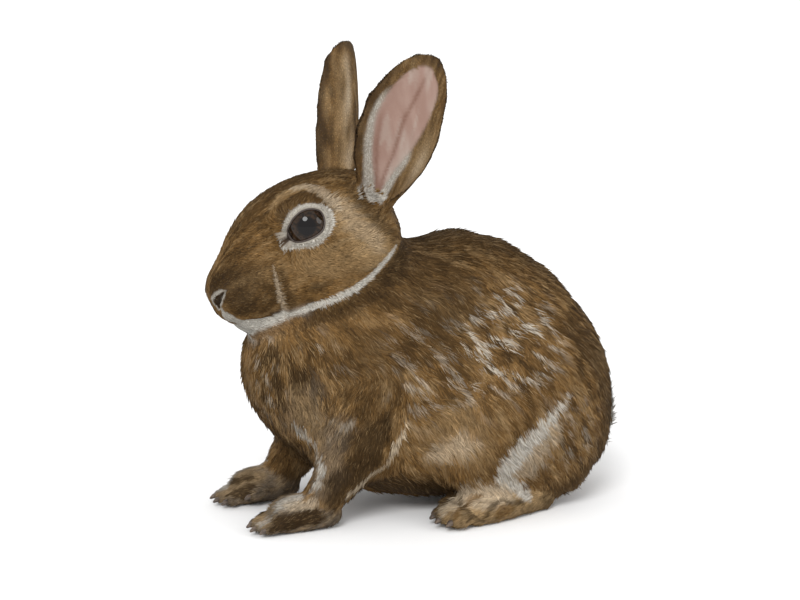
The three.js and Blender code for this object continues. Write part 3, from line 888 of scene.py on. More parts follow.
BODY_MARKS_AND_SHADE = [
    # Dark down the back and round the rump's edge: partly the coat's own darker back, partly painted shade
    # along the outline.
    Mark("dark", [(-30, 0, 147), (30, 0, 157), (70, 0, 137), (100, 0, 97), (112, 0, 58)], (14, 18), 24, 0.7),
    Mark("dark", [(84, 47, 107), (97, 41, 75), (100, 40, 46), (92, 42, 21), (66, 50, 9)], (8, 6), 12, 0.65),
    Mark("dark", [(-18, 28, 136), (2, 35, 124), (-4, 41, 104)], (12, 10), 20, 0.6),
    Mark("dark", [(-42, 38, 98), (-38, 44, 75)], (11, 9), 16, 0.36),
    Mark("tan", [(-4, 46, 50), (6, 52, 50), (14, 56, 44)], (9, 7), 13, 0.4),
    Mark("cream", [(-6, 44, 39), (3, 50, 42), (10, 56, 46)], (3.0, 2.5), 7, 0.5),
    # Dark along the underside of the belly: painted shade under the body.
    Mark("dark", [(-40, 32, 10), (0, 38, 10), (22, 43, 15)], (7, 6), 8, 0.92),
    Mark("dark", [(22, 45, 19), (36, 54, 20)], (2.0, 1.5), 2.5, 0.8),
    Mark("grey", [(-60, 38, 57), (-63, 38, 40), (-66, 36, 21)], (6, 5), 9, 0.6),
    # Dark behind the near foreleg: painted shade where the leg meets the body.
    Mark("dark", [(-33, 45, 59), (-42, 46, 50), (-50, 42, 30), (-60, 40, 18)], (5.5, 4.0), 8, 0.85),
    Mark("grey", [(-78, 28, 61), (-72, 34, 75)], (6, 6), 11, 0.4),
    Mark("cream", [(-21, 45, 56), (-26, 42, 46), (-32, 40, 35), (-42, 40, 25), (-54, 38, 13)],
         (1.5, 1.4), 1.4, 0.9),
    # Dark between the forelegs and on the far leg's inner side: painted shade between the legs.
    Mark("dark", [(-80, 0, 50), (-70, 0, 36), (-60, 0, 25)], (13, 16), 8, 0.6),
    Mark("dark", [(-74, 20, 42), (-63, 19, 19), (-67, 19, 8)], (6, 6), 5, 0.5),
    Mark("white", [(-78, 29.5, 58), (-74, 29.8, 50), (-68.5, 30, 44)], (1.0, 1.7), 1.6, 0.85),
    Mark("white", [(-67.6, 31, 44), (-66.5, 34.4, 37), (-67.2, 36, 31), (-69.2, 35.9, 26), (-73.5, 32.8, 20)],
         (2.0, 2.4), 1.8, 1.0),
    Mark("tan", [(-84, 22, 14), (-96, 22, 11), (-104, 24, 8)], (4, 4), 4, 0.5),
    Mark("white", [(-73, 31, 21.5), (-81, 31, 19), (-88, 32, 16), (-95, 31, 12), (-103, 33, 8),
                   (-107, 35, 4)], (1.8, 2.8), 2.5, 0.62),
    Mark("cream", [(-84, 33, 15), (-70, 37, 16)], (1.5, 1.5), 3, 0.6),
    Mark("dark", [(-94, 34, 6), (-87, 37, 8.5), (-78, 38, 8.5), (-66, 38, 8)], (2.6, 3.6), 2.5, 0.95),
    Mark("dark", [(-92, 22, 99), (-91.5, 22, 92)], (2.6, 2.0), 2.6, 0.85),
    Mark("dark", [(-77, 35, 88), (-76.5, 35, 81)], (3.2, 2.4), 2.6, 0.9),
    Mark("dark", [(-89, 29, 84), (-88, 30, 78)], (2.6, 2.0), 2.6, 0.8),
    Mark("dark", [(-87, 30, 74), (-86.5, 30, 69)], (2.4, 1.8), 2.6, 0.8),
    Mark("tan", [(-78, 33, 76), (-73, 36, 62), (-70, 35, 50)], (3, 3), 6, 0.35),
    Mark("dark", [(-102, 20, 7), (-88, 17, 9)], (1.8, 2.4), 1.8, 0.85),
    Mark("dark", [(-97, 28, 9), (-88, 22, 13)], (1.2, 1.6), 1.3, 0.8),
    Mark("cream", [(34, 58, 26), (41, 59, 34), (49, 60, 43), (57, 60, 53)], (6.5, 3), 7, 0.6),
    Mark("dark", [(16, 57, 30), (23, 59, 38), (33, 60, 48), (46, 60, 59)], (1.0, 1.0), 3.5, 0.4),
    Mark("white", [(26, 58.5, 27), (30, 60, 32), (35, 60.5, 38), (42, 61, 45), (51, 60.5, 53.5), (59, 59, 60),
                   (66, 58, 67)], (5.6, 1.2), 1.8, 0.85),
    Mark("white", [(29, 57.5, 25), (36, 55.5, 19.5), (42, 54, 15), (46, 54, 11)], (4.0, 2.2), 2.0, 0.85),
    Mark("cream", [(-2, 50, 12), (14, 53, 15), (32, 55, 14)], (5.5, 4.5), 5, 0.75),
    # Brown and dark arcs and lines on the hind foot: painted shade of its toes.
    Mark("brown", [(-1, 61, 8), (4, 57, 11), (10, 54, 14.7), (16, 56, 16)], (1.3, 0.8), 1.6, 0.8),
    Mark("brown", [(24, 59.5, 8), (34, 58, 7)], (2.4, 2.4), 2.5, 0.8),
    Mark("dark", [(16, 60, 4), (19, 60.4, 10), (27, 58.5, 14), (42, 55.5, 9)], (0.9, 0.6), 1.4, 0.75),
    Mark("dark", [(6, 50, 14), (5, 58, 12), (8, 61.5, 8), (14, 60, 4.5)], (0.9, 0.7), 1.4, 0.7),
]
Patch = namedtuple("Patch", "middle radius dark pale")
# Patches of ticked hair, and the strengths of the dark and of the pale flecks in them.
FLECKED = [
    Patch((34, 46, 98), 38, 1.0, 0.95),
    Patch((-80, 30, 82), 32, 1.0, 0.6),
    Patch((-66, 38, 66), 22, 0.85, 0.7),
    Patch((0, 46, 88), 42, 0.5, 0.45),
    Patch((66, 54, 48), 26, 0.3, 0.35),
]
PALETTE = ("brown", "dark", "tan", "cream", "white", "grey", "pink")
BARE_LID = (0.022, 0.014, 0.009)
# Sizes of the strokes that vary the coat's colour, and the distances from the skull's middle over which the
# head's calmer colour gives way to the body's.
FINE_STROKES = 3.0
BROAD_STROKES = 6.5
CLOUDS = 22.0
FLECK_SIZE = 5.5
CALM_HEAD = (50, 62)
STROKE_STEPS = (-1.0, -0.5, 0.0, 0.5, 1.0)


def palette_of(coat):
    """The coat's colours by name."""
    return {name: np.array(getattr(coat, name)) for name in PALETTE}


def painted(colours, colour, amount):
    """Colours drawn towards one colour by an amount from 0 to 1."""
    return colours + (np.array(colour) - colours) * amount[:, None]


def toned(colours, tone, palette):
    """Colours darker where the tone is below 0, and drawn towards tan where it is above."""
    colours = colours * np.exp(np.minimum(tone, 0))[:, None]
    lighter = 1 - np.exp(-np.maximum(tone, 0))
    return painted(colours, np.maximum(colours, palette["tan"]), lighter)


def fleck_strength(points, shade):
    """How strongly the coat is flecked with dark or with pale."""
    right = mirrored(points)
    total = np.zeros(len(points))
    for patch in FLECKED:
        gap = np.linalg.norm(right - patch.middle, axis=1) / patch.radius
        total = np.maximum(total, getattr(patch, shade) * fading(gap, 0.45, 1.1))
    return total


def strokes(points, lies, size, seed, reach=1.0):
    """Waves drawn out along the lie of the hair, by their size times a reach."""
    steps = np.array(STROKE_STEPS) * size * reach
    return sum(waves(points + step * lies, size, seed) for step in steps) / len(steps)


def mark_strength(mark, points, line, roughness):
    """How strongly a mark shows at points near its line: tapered at both ends, with a ragged edge."""
    gap, share = distance_to_line(points, line, 2.5 * max(mark.widths) + mark.fade)
    start, end = mark.widths
    width = start + (end - start) * share
    width *= at_least(0.35, smooth_step(np.minimum(share, 1 - share), 0, 0.12))
    return mark.strength * fading(gap + 0.5 * mark.fade * roughness, width, width + mark.fade)


def marked_and_shaded(points, lies, colours, coat, surface):
    """Ground colours with the markings, and the painted shade among them, laid over them in turn."""
    right = mirrored(points)
    palette = palette_of(coat)
    fine = strokes(points, lies, FINE_STROKES, seed=3)
    broad = strokes(points, lies, BROAD_STROKES, seed=4)
    calm = fading(np.linalg.norm(points - SKULL_MIDDLE, axis=1), *CALM_HEAD)
    tone = 0.6 * fine + (0.7 - 0.5 * calm) * broad + 0.15 * waves(points, CLOUDS, seed=7)
    colours = toned(colours, tone, palette)
    flecks = smooth_step(strokes(points, lies, FLECK_SIZE, seed=5, reach=0.7), 0.1, 0.5)
    colours = painted(colours, palette["dark"], 0.8 * flecks * fleck_strength(points, "dark"))
    flecks = smooth_step(strokes(points, lies, FLECK_SIZE, seed=8, reach=0.5), 0.25, 0.65)
    pale = 0.4 * palette["cream"] + 0.6 * palette["white"]
    colours = painted(colours, pale, 0.95 * flecks * fleck_strength(points, "pale"))
    for marks, head in ((BODY_MARKS_AND_SHADE, False), (HEAD_MARKS_AND_SHADE, True)):
        for mark in marks:
            strength = mark_strength(mark, right, surface.drawn(mark.line, head), fine + 0.5 * broad)
            colours = painted(colours, palette[mark.colour], strength)
    for lids in EYELIDS:
        ring = lids.past(points, RING_EDGE) + 0.35 * fine
        colours = painted(colours, palette["white"], 0.95 * fading(ring, -0.5, 0.5))
        colours = painted(colours, BARE_LID, fading(lids.past(points, DARK_EDGE), 0.1, 0.7))
    return colours


# Lines up the inside of an ear: how far up it, and how far across it the line is.
BARE_FRONT = [
    (0.15, -0.32), (0.20, -0.45), (0.30, -0.58), (0.39, -0.64), (0.49, -0.68), (0.59, -0.72), (0.69, -0.72),
    (0.78, -0.70), (0.85, -0.62), (0.90, -0.48), (0.94, -0.15),
]
BARE_BACK = [
    (0.15, -0.28), (0.19, -0.17), (0.25, -0.06), (0.33, 0.04), (0.40, 0.17), (0.47, 0.28), (0.61, 0.42),
    (0.72, 0.52), (0.80, 0.58), (0.86, 0.56), (0.90, 0.44), (0.94, 0.05),
]
FRINGE_FRONT = [
    (0.05, -0.8), (0.13, -0.9), (0.2, -0.74), (0.29, -0.77), (0.39, -0.80), (0.57, -0.83), (0.69, -0.84),
    (0.85, -0.72),
]
WHITE_BACK = [(0.08, 0.14), (0.19, 0.16), (0.33, 0.22), (0.42, 0.32), (0.5, 0.3)]
FOLD_LINE = [
    (0.17, -0.30), (0.27, -0.22), (0.38, -0.15), (0.47, -0.13), (0.60, -0.15), (0.74, -0.06), (0.90, 0.02),
]
LINE_ROUNDING = (-0.03, -0.015, 0, 0.015, 0.03)


def line_across(rise, line):
    """Where a line is across an ear, at a height, with its corners rounded."""
    heights, places = zip(*line)
    return sum(np.interp(rise + shift, heights, places) for shift in LINE_ROUNDING) / len(LINE_ROUNDING)


def bare_ear(rise, across, inside):
    """How bare the skin of an ear is: 1 in the middle of its inside."""
    front, back = line_across(rise, BARE_FRONT), line_across(rise, BARE_BACK)
    sides = smooth_step(across, front - 0.05, front + 0.04) * fading(across, back - 0.05, back + 0.05)
    return inside * sides * smooth_step(rise, 0.14, 0.18) * fading(rise, 0.925, 0.955)


def ear_white(rise, across):
    """The pale hair inside an ear: all up its front edge, and low down right across."""
    fringe, pale_back = line_across(rise, FRINGE_FRONT), line_across(rise, WHITE_BACK)
    front = fading(across, -0.45, -0.3) * fading(rise, 0.66, 0.8)
    low = fading(across, pale_back - 0.06, pale_back + 0.1) * fading(rise, 0.42, 0.52)
    return smooth_step(across, fringe - 0.04, fringe + 0.04) * np.maximum(front, low)


def ear_veins(rise, across, fold):
    """The darker lines in the pink: behind the front edge, along the fold, and where they meet low down."""
    front_line = band(across, line_across(rise, BARE_FRONT) + 0.08, 0.06) * fading(rise, 0.4, 0.75)
    fold_line = band(across, fold, 0.05) * fading(rise, 0.8, 0.95)
    return np.maximum(np.maximum(front_line, fold_line), fading(rise, 0.2, 0.28))


def ear_painting(rise, across, inside, streaks):
    """What is painted over an ear's ground colour, in turn: colours and their amounts."""
    bare = bare_ear(rise, across, inside)
    fold = line_across(rise, FOLD_LINE)
    outer_edge = smooth_step(-across, 0.86, 0.96) + 0.7 * smooth_step(across, 0.8, 0.97)
    tip = smooth_step(rise, 0.9, 0.98)
    rim = smooth_step(-across, 0.80, 0.88) + smooth_step(across, 0.86, 0.97)
    rim += smooth_step(rise, 0.93, 0.98)
    upper = smooth_step(rise, 0.15, 0.35) * fading(rise, 0.84, 0.95)
    return [
        ("tan", (0.85 + 0.3 * streaks).clip(0, 1) * ~inside * band(across, -0.42, 0.26) * upper),
        ("cream", (0.45 + 0.3 * streaks).clip(0, 1) * ~inside * band(across, -0.33, 0.16) * upper),
        ("dark", 0.75 * ~inside * np.clip(outer_edge + tip, 0, 1)),
        ("tan", inside * band(across, 0.68, 0.24) * band(rise, 0.48, 0.16)),
        ("cream", 0.6 * inside * band(across, 0.7, 0.14) * band(rise, 0.44, 0.1)),
        ("white", 0.9 * inside * ear_white(rise, across)),
        ("pink", bare),
        ("white", 0.35 * bare * smooth_step(across - fold, 0, 0.3) * fading(rise, 0.4, 0.66)),
        ("white", 0.3 * bare * smooth_step(streaks, 0.2, 1.2)),
        ("vein", 0.75 * bare * ear_veins(rise, across, fold)),
        ("dark", 0.5 * inside * np.clip(rim, 0, 1)),
    ]


VEIN_SHADE = (0.55, 0.42, 0.36)
EAR_STREAKS = 5.0
STREAK_LENGTHENING = 0.88


def marked_ears(points, normals, colours, coat, owners):
    """Ground colours with the markings of the ears: pink inside, pale along the edges, dark round the rim."""
    palette = palette_of(coat)
    palette["vein"] = palette["pink"] * VEIN_SHADE
    for ear, on_ear in on_ears(owners):
        rise, across, inside = ear.places(points[on_ear], normals[on_ear])
        flattened = points[on_ear] - STREAK_LENGTHENING * ear.length * rise[:, None] * ear.axis
        streaks = waves(flattened, EAR_STREAKS, seed=9)
        ear_colours = toned(colours[on_ear], 0.3 * streaks, palette)
        for name, amount in ear_painting(rise, across, inside, streaks):
            ear_colours = painted(ear_colours, palette[name], amount)
        colours[on_ear] = ear_colours
    return colours


# ---- what the coat grows by: fields over the skin ----
# How far forwards and how far back of the rabbit's middle the hair of its trunk comes to hang down.
CHEST = (30, 95)
RUMP = (80, 115)
HANG = (-0.55, 0, -0.5)
RUMP_HANG = 0.8
EAR_FAN = 0.12
# Distances from the lids over which the hair turns to run away from the eye, and how strongly it does.
ROUND_LIDS = (2.0, 9.0)
LID_FAN = 2.2


def hair_lies(points, normals, owners, edges):
    """The direction in which the hair lies, all over the skin."""
    on_trunk = np.array([kind in ("trunk", "neck") for kind in FLESH_KINDS])[owners]
    steep = np.maximum(smooth_step(-points[:, 0], *CHEST), RUMP_HANG * smooth_step(points[:, 0], *RUMP))
    lies = of_coat("lie", owners) + (on_trunk * steep)[:, None] * HANG
    for ear, on_ear in on_ears(owners):
        across = ear.places(points[on_ear], normals[on_ear])[1]
        lies[on_ear] = ear.axis + EAR_FAN * across[:, None] * ear.across
    lies = along_surface(blur(lies, edges, rounds=14), normals)
    for lids in EYELIDS:
        near = fading(lids.gap(points), *ROUND_LIDS)
        away = points - lids.centre - ((points - lids.centre) @ lids.gaze)[:, None] * lids.gaze
        lies = lies + LID_FAN * near[:, None] * unit(away)
    return along_surface(lies, normals)


# Distances over which the hair grows longer: from the nose, from the line of the jaw, and from the lids.
FROM_NOSE = (8, 42)
FROM_JAW = (3.0, 9.0)
FROM_LIDS = (0.5, 6.0)


def shortened(points):
    """How short the hair is on the muzzle and round the eyes, as a share of its length on the cheeks."""
    from_nose = np.linalg.norm(points - NOSE - 5 * HEAD_BACK, axis=1)
    share = at_least(0.42, smooth_step(from_nose, *FROM_NOSE))
    jaw_line = NOSE + from_head(np.array(JAW_LINE))
    share *= at_least(0.5, smooth_step(distance_to_line(mirrored(points), jaw_line)[0], *FROM_JAW))
    for lids in EYELIDS:
        share *= at_least(0.45, smooth_step(lids.gap(points), *FROM_LIDS))
    return share


def bareness(points, normals, owners):
    """1 where the skin shows: inside the ears and on the rims of the lids."""
    bare = np.zeros(len(points))
    for ear, on_ear in on_ears(owners):
        bare[on_ear] = bare_ear(*ear.places(points[on_ear], normals[on_ear]))
    for lids in EYELIDS:
        bare = np.maximum(bare, fading(lids.past(points, DARK_EDGE), 0.2, 0.8))
    return bare


FIELDS = ("length", "width", "amount", "lift")
TOE_LIFT = 30.0
TOE_HEIGHTS = (14, 22)
EDGE_TRIM = 0.45


def add_fields(mesh, coat):
    """Stores what the coat grows by on the skin: its lie, sizes, amount and colours."""
    points, normals = places_of(mesh)
    edges = edges_of(mesh)
    owners = nearest_nodes(points)
    fields = {field: blur(of_coat(field, owners), edges, rounds=10) for field in FIELDS}
    short = shortened(points)
    fields["length"] *= short
    fields["width"] *= at_least(0.35, short)
    fields["amount"] /= at_least(0.3, short)
    for ear, on_ear in on_ears(owners):
        rise, across, _ = ear.places(points[on_ear], normals[on_ear])
        edge = np.maximum(smooth_step(np.abs(across), 0.7, 1.0), smooth_step(rise, 0.85, 1.0))
        fields["length"][on_ear] *= 1 - EDGE_TRIM * edge
    toe_ends = smooth_step(-normals[:, 0], 0.5, 0.9) * fading(points[:, 2], *TOE_HEIGHTS)
    fields["lift"] += TOE_LIFT * toe_ends
    ground = np.array([getattr(coat, COATS[kind].colour) for kind in FLESH_KINDS])[owners]
    ground = blur(ground, edges, rounds=5)
    lies = hair_lies(points, normals, owners, edges)
    colours = marked_and_shaded(points, lies, ground, coat, Surface(mesh))
    colours = marked_ears(points, normals, colours, coat, owners)
    for field, values in fields.items():
        add_attribute(mesh, field, "FLOAT", values)
    add_attribute(mesh, "ground", "FLOAT_VECTOR", ground)
    add_attribute(mesh, "lie", "FLOAT_VECTOR", lies)
    add_attribute(mesh, "owner", "FLOAT", owners)
    add_attribute(mesh, "coat_colour", "FLOAT_COLOR", np.column_stack([colours, np.ones(len(colours))]))
    add_attribute(mesh, "bare", "FLOAT", bareness(points, normals, owners))


# ---- tufts ----
# A tuft is a closed sliver: a root sunk in the skin, two corners where it is widest, and a tip. It arches
# over the straight line to its tip, and the shading of its sides and tip leans away from the skin's.
WIDEST = 0.42
ROOT_SUNK = 0.3
ARCH = math.radians(9)
SIDE_LEAN = 0.7
TIP_LEAN = 0.35
FLOOR_GAP = 0.15
PATCH = 0.003
TUFT_FACES = np.array([(0, 1, 2), (1, 3, 2), (0, 2, 3), (0, 3, 1)])
TUFT_ALONG = np.array((0.0, WIDEST, WIDEST, 1.0))
TUFT_PATCH = np.array([(0, -1), (-1, 0), (1, 0), (0, 1)]) * PATCH / 2


def scatter(mesh, random, share):
    """Random places on the skin, as many to an area as the coat needs: face corners and their weights."""
    mesh.calc_loop_triangles()
    corners = read(mesh.loop_triangles, "loops", 3, np.int32)
    vertices = read(mesh.loop_triangles, "vertices", 3, np.int32)
    areas = read(mesh.loop_triangles, "area", 1).astype(float) / MM**2
    wanted = areas * read_attribute(mesh, "amount")[vertices].mean(1) * share
    count = int(wanted.sum())
    chosen = np.searchsorted(np.cumsum(wanted), random.random(count) * wanted.sum())
    chosen = np.minimum(chosen, len(wanted) - 1)
    a, b = np.sqrt(random.random(count)), random.random(count)
    weights = np.stack([1 - a, a * (1 - b), a * b], -1)
    return vertices[chosen], corners[chosen], weights


def blended(values, corners, weights):
    """Values at places within faces, from those at the faces' corners."""
    values = values if values.ndim > 1 else values[:, None]
    made = (values[corners] * weights[:, :, None]).sum(1)
    return made if made.shape[1] > 1 else made[:, 0]


def turned(lies, normals, angles):
    """Directions turned about the normals."""
    sideways = np.cross(normals, lies)
    return lies * np.cos(angles)[:, None] + sideways * np.sin(angles)[:, None]


def tuft_mesh(name, tufts):
    """One mesh of many tufts, with the values that its material reads and the OFBake map."""
    roots, normals, lies = tufts["root"], tufts["normal"], tufts["lie"]
    side = np.cross(normals, lies)
    length, half_width = tufts["length"][:, None], tufts["width"][:, None] / 2
    lift = np.radians(tufts["lift"])[:, None]
    rise = lift + ARCH
    middle = roots + WIDEST * length * (np.cos(rise) * lies + np.sin(rise) * normals)
    tip = roots + length * (np.cos(lift) * lies + np.sin(lift) * normals)
    across, lean = half_width * side, SIDE_LEAN * side
    places = np.stack([roots - ROOT_SUNK * normals, middle - across, middle + across, tip], 1)
    places[:, :, 2] = np.maximum(places[:, :, 2], FLOOR_GAP)
    shading = np.stack([normals, normals - lean, normals + lean, normals + TIP_LEAN * lies], 1)
    count = len(roots)
    faces = (np.arange(count)[:, None, None] * 4 + TUFT_FACES).reshape(-1, 3)
    mesh = bpy.data.meshes.new(name)
    mesh.vertices.add(4 * count)
    set_places(mesh, places)
    mesh.loops.add(faces.size)
    mesh.loops.foreach_set("vertex_index", faces.ravel().astype(np.int32))
    mesh.polygons.add(len(faces))
    mesh.polygons.foreach_set("loop_start", np.arange(0, faces.size, 3, dtype=np.int32))
    mesh.update(calc_edges=True)
    add_attribute(mesh, "along", "FLOAT", np.tile(TUFT_ALONG, count))
    for field in ("chance", "ticking"):
        add_attribute(mesh, field, "FLOAT", np.repeat(tufts[field], 4))
    colours = np.repeat(np.column_stack([tufts["colour"], np.ones(count)]), 4, 0)
    add_attribute(mesh, "coat_colour", "FLOAT_COLOR", colours)
    add_attribute(mesh, "custom_normal", "FLOAT_VECTOR", unit(shading.reshape(-1, 3)))
    patches = (tufts["patch"][:, None, :] + TUFT_PATCH).reshape(-1, 2)[faces.ravel()]
    bake_map = mesh.uv_layers.new(name="OFBake")
    bake_map.data.foreach_set("uv", np.clip(patches, 0, 1).astype(np.float32).ravel())
    mesh.shade_smooth()
    return mesh


# Locks are turned about together, large ones and small ones in them, and each tuft a little by itself.
LOCK_SIZE = 13.0
LARGE_SWIRL, SMALL_SWIRL = 0.22, 0.12
OWN_TURN = 0.13
OWN_SHADE = 0.17
# Where along a tuft its colour is taken.
COLOUR_PLACE = 0.55
TICKING, FLECK_TICKING = 0.45, 0.4
UNTICKED = ("lower_jaw", "tail")
Variation = namedtuple("Variation", "least most stray")
# What each size of a tuft is multiplied by, and further if it is one of the few that stray.
STRAY = 0.04
VARIATIONS = {
    "length": Variation(0.72, 1.15, 1.2),
    "width": Variation(0.75, 1.25, 0.7),
    "lift": Variation(0.6, 1.35, 1.3),
}


def rooted(mesh, random, share):
    """Tufts at random places, with the skin's own values there, and the lie of the skin's hair."""
    vertices, corners, weights = scatter(mesh, random, share)
    points, normals = places_of(mesh)
    tufts = {"root": blended(points, vertices, weights), "normal": unit(blended(normals, vertices, weights))}
    for field in ("length", "width", "lift", "ground"):
        tufts[field] = blended(read_attribute(mesh, field), vertices, weights)
    tufts["lie"] = along_surface(blended(read_attribute(mesh, "lie"), vertices, weights), tufts["normal"])
    uv = read(mesh.uv_layers["OFBake"].uv, "vector", 2).astype(float)
    tufts["patch"] = blended(uv, corners, weights)
    tufts["owner"] = read_attribute(mesh, "owner")[vertices[:, 0]].astype(int)
    return tufts


def grow_tufts(mesh, coat, share):
    """Everything about every tuft, as arrays."""
    random = np.random.default_rng(coat.seed)
    tufts = rooted(mesh, random, share)
    roots, lies, owners = tufts["root"], tufts["lie"], tufts["owner"]
    count = len(roots)
    surface = Surface(mesh)
    middles = roots + COLOUR_PLACE * tufts["length"][:, None] * lies
    colour = marked_and_shaded(middles, lies, tufts["ground"], coat, surface)
    colour = marked_ears(middles, tufts["normal"], colour, coat, owners)
    tufts["colour"] = np.clip(colour * np.exp(random.normal(0, OWN_SHADE, (count, 1))), 0, 1)
    swirl = LARGE_SWIRL * waves(roots, LOCK_SIZE, seed=21)
    swirl += SMALL_SWIRL * waves(roots, LOCK_SIZE / 3, seed=22)
    tufts["lie"] = turned(lies, tufts["normal"], swirl + random.normal(0, OWN_TURN, count))
    tufts["chance"] = random.random(count)
    flecks = np.maximum(fleck_strength(roots, "dark"), fleck_strength(roots, "pale"))
    unticked = np.array([kind in UNTICKED for kind in FLESH_KINDS])[owners]
    tufts["ticking"] = (TICKING + FLECK_TICKING * flecks) * ~unticked
    stray = random.random(count) < STRAY
    tufts["length"] *= coat.length
    for field, vary in VARIATIONS.items():
        tufts[field] *= random.uniform(vary.least, vary.most, count) * np.where(stray, vary.stray, 1)
    keep = kept_tufts(tufts, surface)
    return {key: values[keep] for key, values in tufts.items()}


BARE_NOSTRIL = 1.7
BARE_EDGE = 0.3
BARENESS_REACH = 1.2


def kept_tufts(tufts, surface):
    """Leaves the eyes, nostrils and most of the ears' insides bare."""
    roots = tufts["root"]
    keep = distance_to_line(mirrored(roots), surface.drawn(NOSTRIL, head=True))[0] > BARE_NOSTRIL
    for lids in EYELIDS:
        keep &= lids.past(roots, DARK_EDGE) > BARE_EDGE
    return keep & (tufts["chance"] > BARENESS_REACH * bareness(roots, tufts["normal"], tufts["owner"]))


def unwrap(skin):
    """Lays the skin's own shape out flat, as the map OFBake."""
    skin.data.uv_layers.new(name="OFBake")
    bpy.context.view_layer.objects.active = skin
    skin.select_set(True)
    bpy.ops.object.mode_set(mode="EDIT")
    bpy.ops.mesh.select_all(action="SELECT")
    bpy.ops.uv.smart_project(angle_limit=math.radians(66), island_margin=0.003)
    bpy.ops.object.mode_set(mode="OBJECT")


# ---- operators ----
def add_piece(name, mesh, material, replaced=()):
    """Puts a finished mesh in the scene as a piece of the rabbit."""
    piece = placed(name, mesh)
    mesh.materials.clear()
    mesh.materials.append(material)
    mesh.polygons.foreach_set("use_smooth", np.ones(len(mesh.polygons), bool))
    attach(piece, "root")
    if replaced:
        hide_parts(*replaced)
    return piece


FLOOR_RADIUS = 40.0
CAMERA_TARGET = (-9.4, 0.0, 114.0)
SURROUND = 1.0
# Each lamp: the place that it shines from, its strength, and its width as an angle.
LAMPS = [
    ("key_light", (-0.9, -1.3, 1.4), 1.8, 24.0),
    ("fill_light", (1.4, -1.1, 0.8), 0.65, 30.0),
]


class RABBIT_OT_stage(bpy.types.Operator):
    """Make the floor, the soft studio lights and the camera"""

    bl_idname = "rabbit.stage"
    bl_label = "Stage"

    def execute(self, context):
        stage = context.scene.rabbit_stage
        self.add_camera(context, stage)
        self.add_floor(stage)
        for name, place, strength, width in LAMPS:
            lamp = placed(name, bpy.data.lights.new(name, "SUN"))
            lamp.data.energy = strength
            lamp.data.angle = math.radians(width)
            lamp.location = place
            lamp.rotation_euler = Vector(place).to_track_quat("Z", "Y").to_euler()
        world = bpy.data.worlds.new("studio")
        world.use_nodes = True
        background = world.node_tree.nodes["Background"]
        background.inputs["Color"].default_value = (1, 1, 1, 1)
        background.inputs["Strength"].default_value = SURROUND
        context.scene.world = world
        context.scene.view_settings.view_transform = "Standard"
        return {"FINISHED"}

    def add_camera(self, context, stage):
        turn, rise = stage.turn, stage.rise
        back = Vector((math.sin(turn) * math.cos(rise), -math.cos(turn) * math.cos(rise), math.sin(rise)))
        camera = placed("camera", bpy.data.cameras.new("camera"))
        camera.data.lens = stage.lens
        camera.data.sensor_width = 36
        camera.data.clip_start = 0.01
        camera.location = Vector(CAMERA_TARGET) * MM + back * stage.distance
        camera.rotation_euler = back.to_track_quat("Z", "Y").to_euler()
        context.scene.camera = camera

    def add_floor(self, stage):
        disc = bmesh.new()
        bmesh.ops.create_circle(disc, cap_ends=True, segments=96, radius=FLOOR_RADIUS)
        mesh = finished(disc, "floor")
        mesh.materials.append(floor_material(stage.floor))
        placed("floor", mesh)


class RABBIT_OT_skin(bpy.types.Operator):
    """Make the rabbit's one skin, with its markings and painted shade, from the solids of its flesh"""

    bl_idname = "rabbit.skin"
    bl_label = "Skin"

    def execute(self, context):
        mesh = build_skin(context.scene.rabbit_body)
        mesh.name = "skin"
        add_fields(mesh, context.scene.rabbit_coat)
        skin = add_piece("skin", mesh, skin_material(), FLESH_NODES)
        unwrap(skin)
        return {"FINISHED"}


BALL_INSET = 0.15
RIM_STEPS = 72
RIM_OUT = 0.3


class RABBIT_OT_eyes(bpy.types.Operator):
    """Make the smooth wet eyeballs and the bare rims of their lids"""

    bl_idname = "rabbit.eyes"
    bl_label = "Eyes"

    def execute(self, context):
        body = context.scene.rabbit_body
        bare_lid = rim_material()
        radius = (BALL_RADIUS - BALL_INSET) * MM
        for lids in EYELIDS:
            side_name = lids.side_name
            ball = bmesh.new()
            bmesh.ops.create_uvsphere(ball, u_segments=64, v_segments=40, radius=radius)
            turn = Vector(lids.gaze).to_track_quat("Z", "Y").to_matrix()
            bmesh.ops.rotate(ball, verts=ball.verts, matrix=turn)
            bmesh.ops.translate(ball, verts=ball.verts, vec=Vector(lids.centre) * MM)
            mesh = finished(ball, side_name + "_eyeball")
            material = eye_material(side_name + "_eye_gloss", lids.centre, lids.gaze)
            add_piece(side_name + "_eyeball", mesh, material, (side_name + "_eye",))
            add_piece(side_name + "_lid_rim", self.rim(lids, body), bare_lid)
        return {"FINISHED"}

    def rim(self, lids, body):
        """A tube along the edge of the lids, closed on itself."""
        curve = bpy.data.curves.new("lid_rim", "CURVE")
        curve.dimensions = "3D"
        curve.bevel_depth = body.rim
        curve.bevel_resolution = 3
        line = curve.splines.new("POLY")
        line.points.add(RIM_STEPS - 1)
        radius = BALL_RADIUS + RIM_OUT * body.rim / MM
        for i, point in enumerate(line.points):
            point.co = (*(lids.edge(2 * math.pi * i / RIM_STEPS, radius) * MM), 1)
        line.use_cyclic_u = True
        holder = bpy.data.objects.new("lid_rim", curve)
        mesh = bpy.data.meshes.new_from_object(holder)
        bpy.data.objects.remove(holder)
        return mesh


class RABBIT_OT_claws(bpy.types.Operator):
    """Give the claws their horn"""

    bl_idname = "rabbit.claws"
    bl_label = "Claws"

    def execute(self, context):
        horn = claw_material()
        for name in CLAW_NODES:
            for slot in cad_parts[name].material_slots:
                slot.link = "OBJECT"
                slot.material = horn
        return {"FINISHED"}


MOST_TUFTS = 45_000


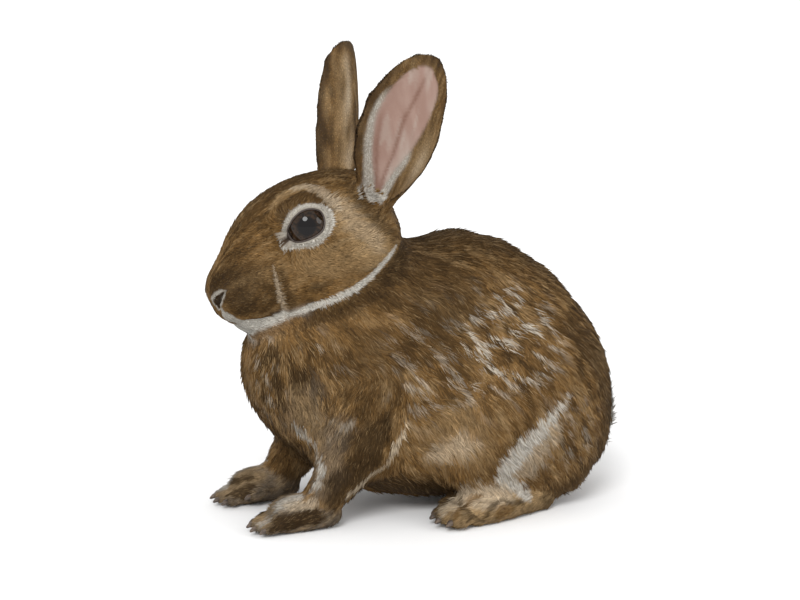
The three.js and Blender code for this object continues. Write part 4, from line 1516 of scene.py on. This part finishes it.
class RABBIT_OT_coat(bpy.types.Operator):
    """Grow the coat over the skin, in tufts that follow its lie"""

    bl_idname = "rabbit.coat"
    bl_label = "Coat"

    def execute(self, context):
        coat = context.scene.rabbit_coat
        skin = bpy.data.objects["skin"]
        share = coat.density * 1
        tufts = grow_tufts(skin.data, coat, share)
        material = coat_material(coat)
        sides = np.where(tufts["root"][:, 1] < 0, "left", "right")
        kinds = np.array(FLESH_KINDS)[tufts["owner"]]
        for kind in COATS:
            for side_name in SIDES:
                chosen = np.flatnonzero((kinds == kind) & (sides == side_name))
                from_front = chosen[tufts["root"][chosen, 0].argsort()]
                parts = math.ceil(len(chosen) / MOST_TUFTS)
                for number, part in enumerate(np.array_split(from_front, parts), 1):
                    name = f"{side_name}_{kind}_coat_{number}"
                    mesh = tuft_mesh(name, {key: values[part] for key, values in tufts.items()})
                    add_piece(name, mesh, material)
        return {"FINISHED"}


class RABBIT_PT_panel(bpy.types.Panel):
    """Lists the steps that build the rabbit, and their sizes and colours"""

    bl_idname = "RABBIT_PT_panel"
    bl_label = "Seated Wild Rabbit"
    bl_space_type = "VIEW_3D"
    bl_region_type = "UI"
    bl_category = "Rabbit"

    def draw(self, context):
        for settings, operators in PANEL_ROWS:
            group = getattr(context.scene, settings)
            for key in type(group).__annotations__:
                self.layout.prop(group, key)
            for operator in operators:
                self.layout.operator(operator.bl_idname)


SETTINGS = {"rabbit_stage": RabbitStage, "rabbit_body": RabbitBody, "rabbit_coat": RabbitCoat}
STEPS = (RABBIT_OT_stage, RABBIT_OT_skin, RABBIT_OT_eyes, RABBIT_OT_claws, RABBIT_OT_coat)
PANEL_ROWS = (
    ("rabbit_stage", (RABBIT_OT_stage,)),
    ("rabbit_body", (RABBIT_OT_skin, RABBIT_OT_eyes, RABBIT_OT_claws)),
    ("rabbit_coat", (RABBIT_OT_coat,)),
)


def register():
    for group in SETTINGS.values():
        bpy.utils.register_class(group)
    for name, group in SETTINGS.items():
        setattr(bpy.types.Scene, name, bpy.props.PointerProperty(type=group))
    for step in STEPS:
        bpy.utils.register_class(step)
    bpy.utils.register_class(RABBIT_PT_panel)


def unregister():
    bpy.utils.unregister_class(RABBIT_PT_panel)
    for step in reversed(STEPS):
        bpy.utils.unregister_class(step)
    for name, group in reversed(SETTINGS.items()):
        delattr(bpy.types.Scene, name)
        bpy.utils.unregister_class(group)


def main():
    register()
    bpy.ops.rabbit.stage()
    bpy.ops.rabbit.skin()
    bpy.ops.rabbit.eyes()
    bpy.ops.rabbit.claws()
    bpy.ops.rabbit.coat()


if __name__ == "__main__":
    main()
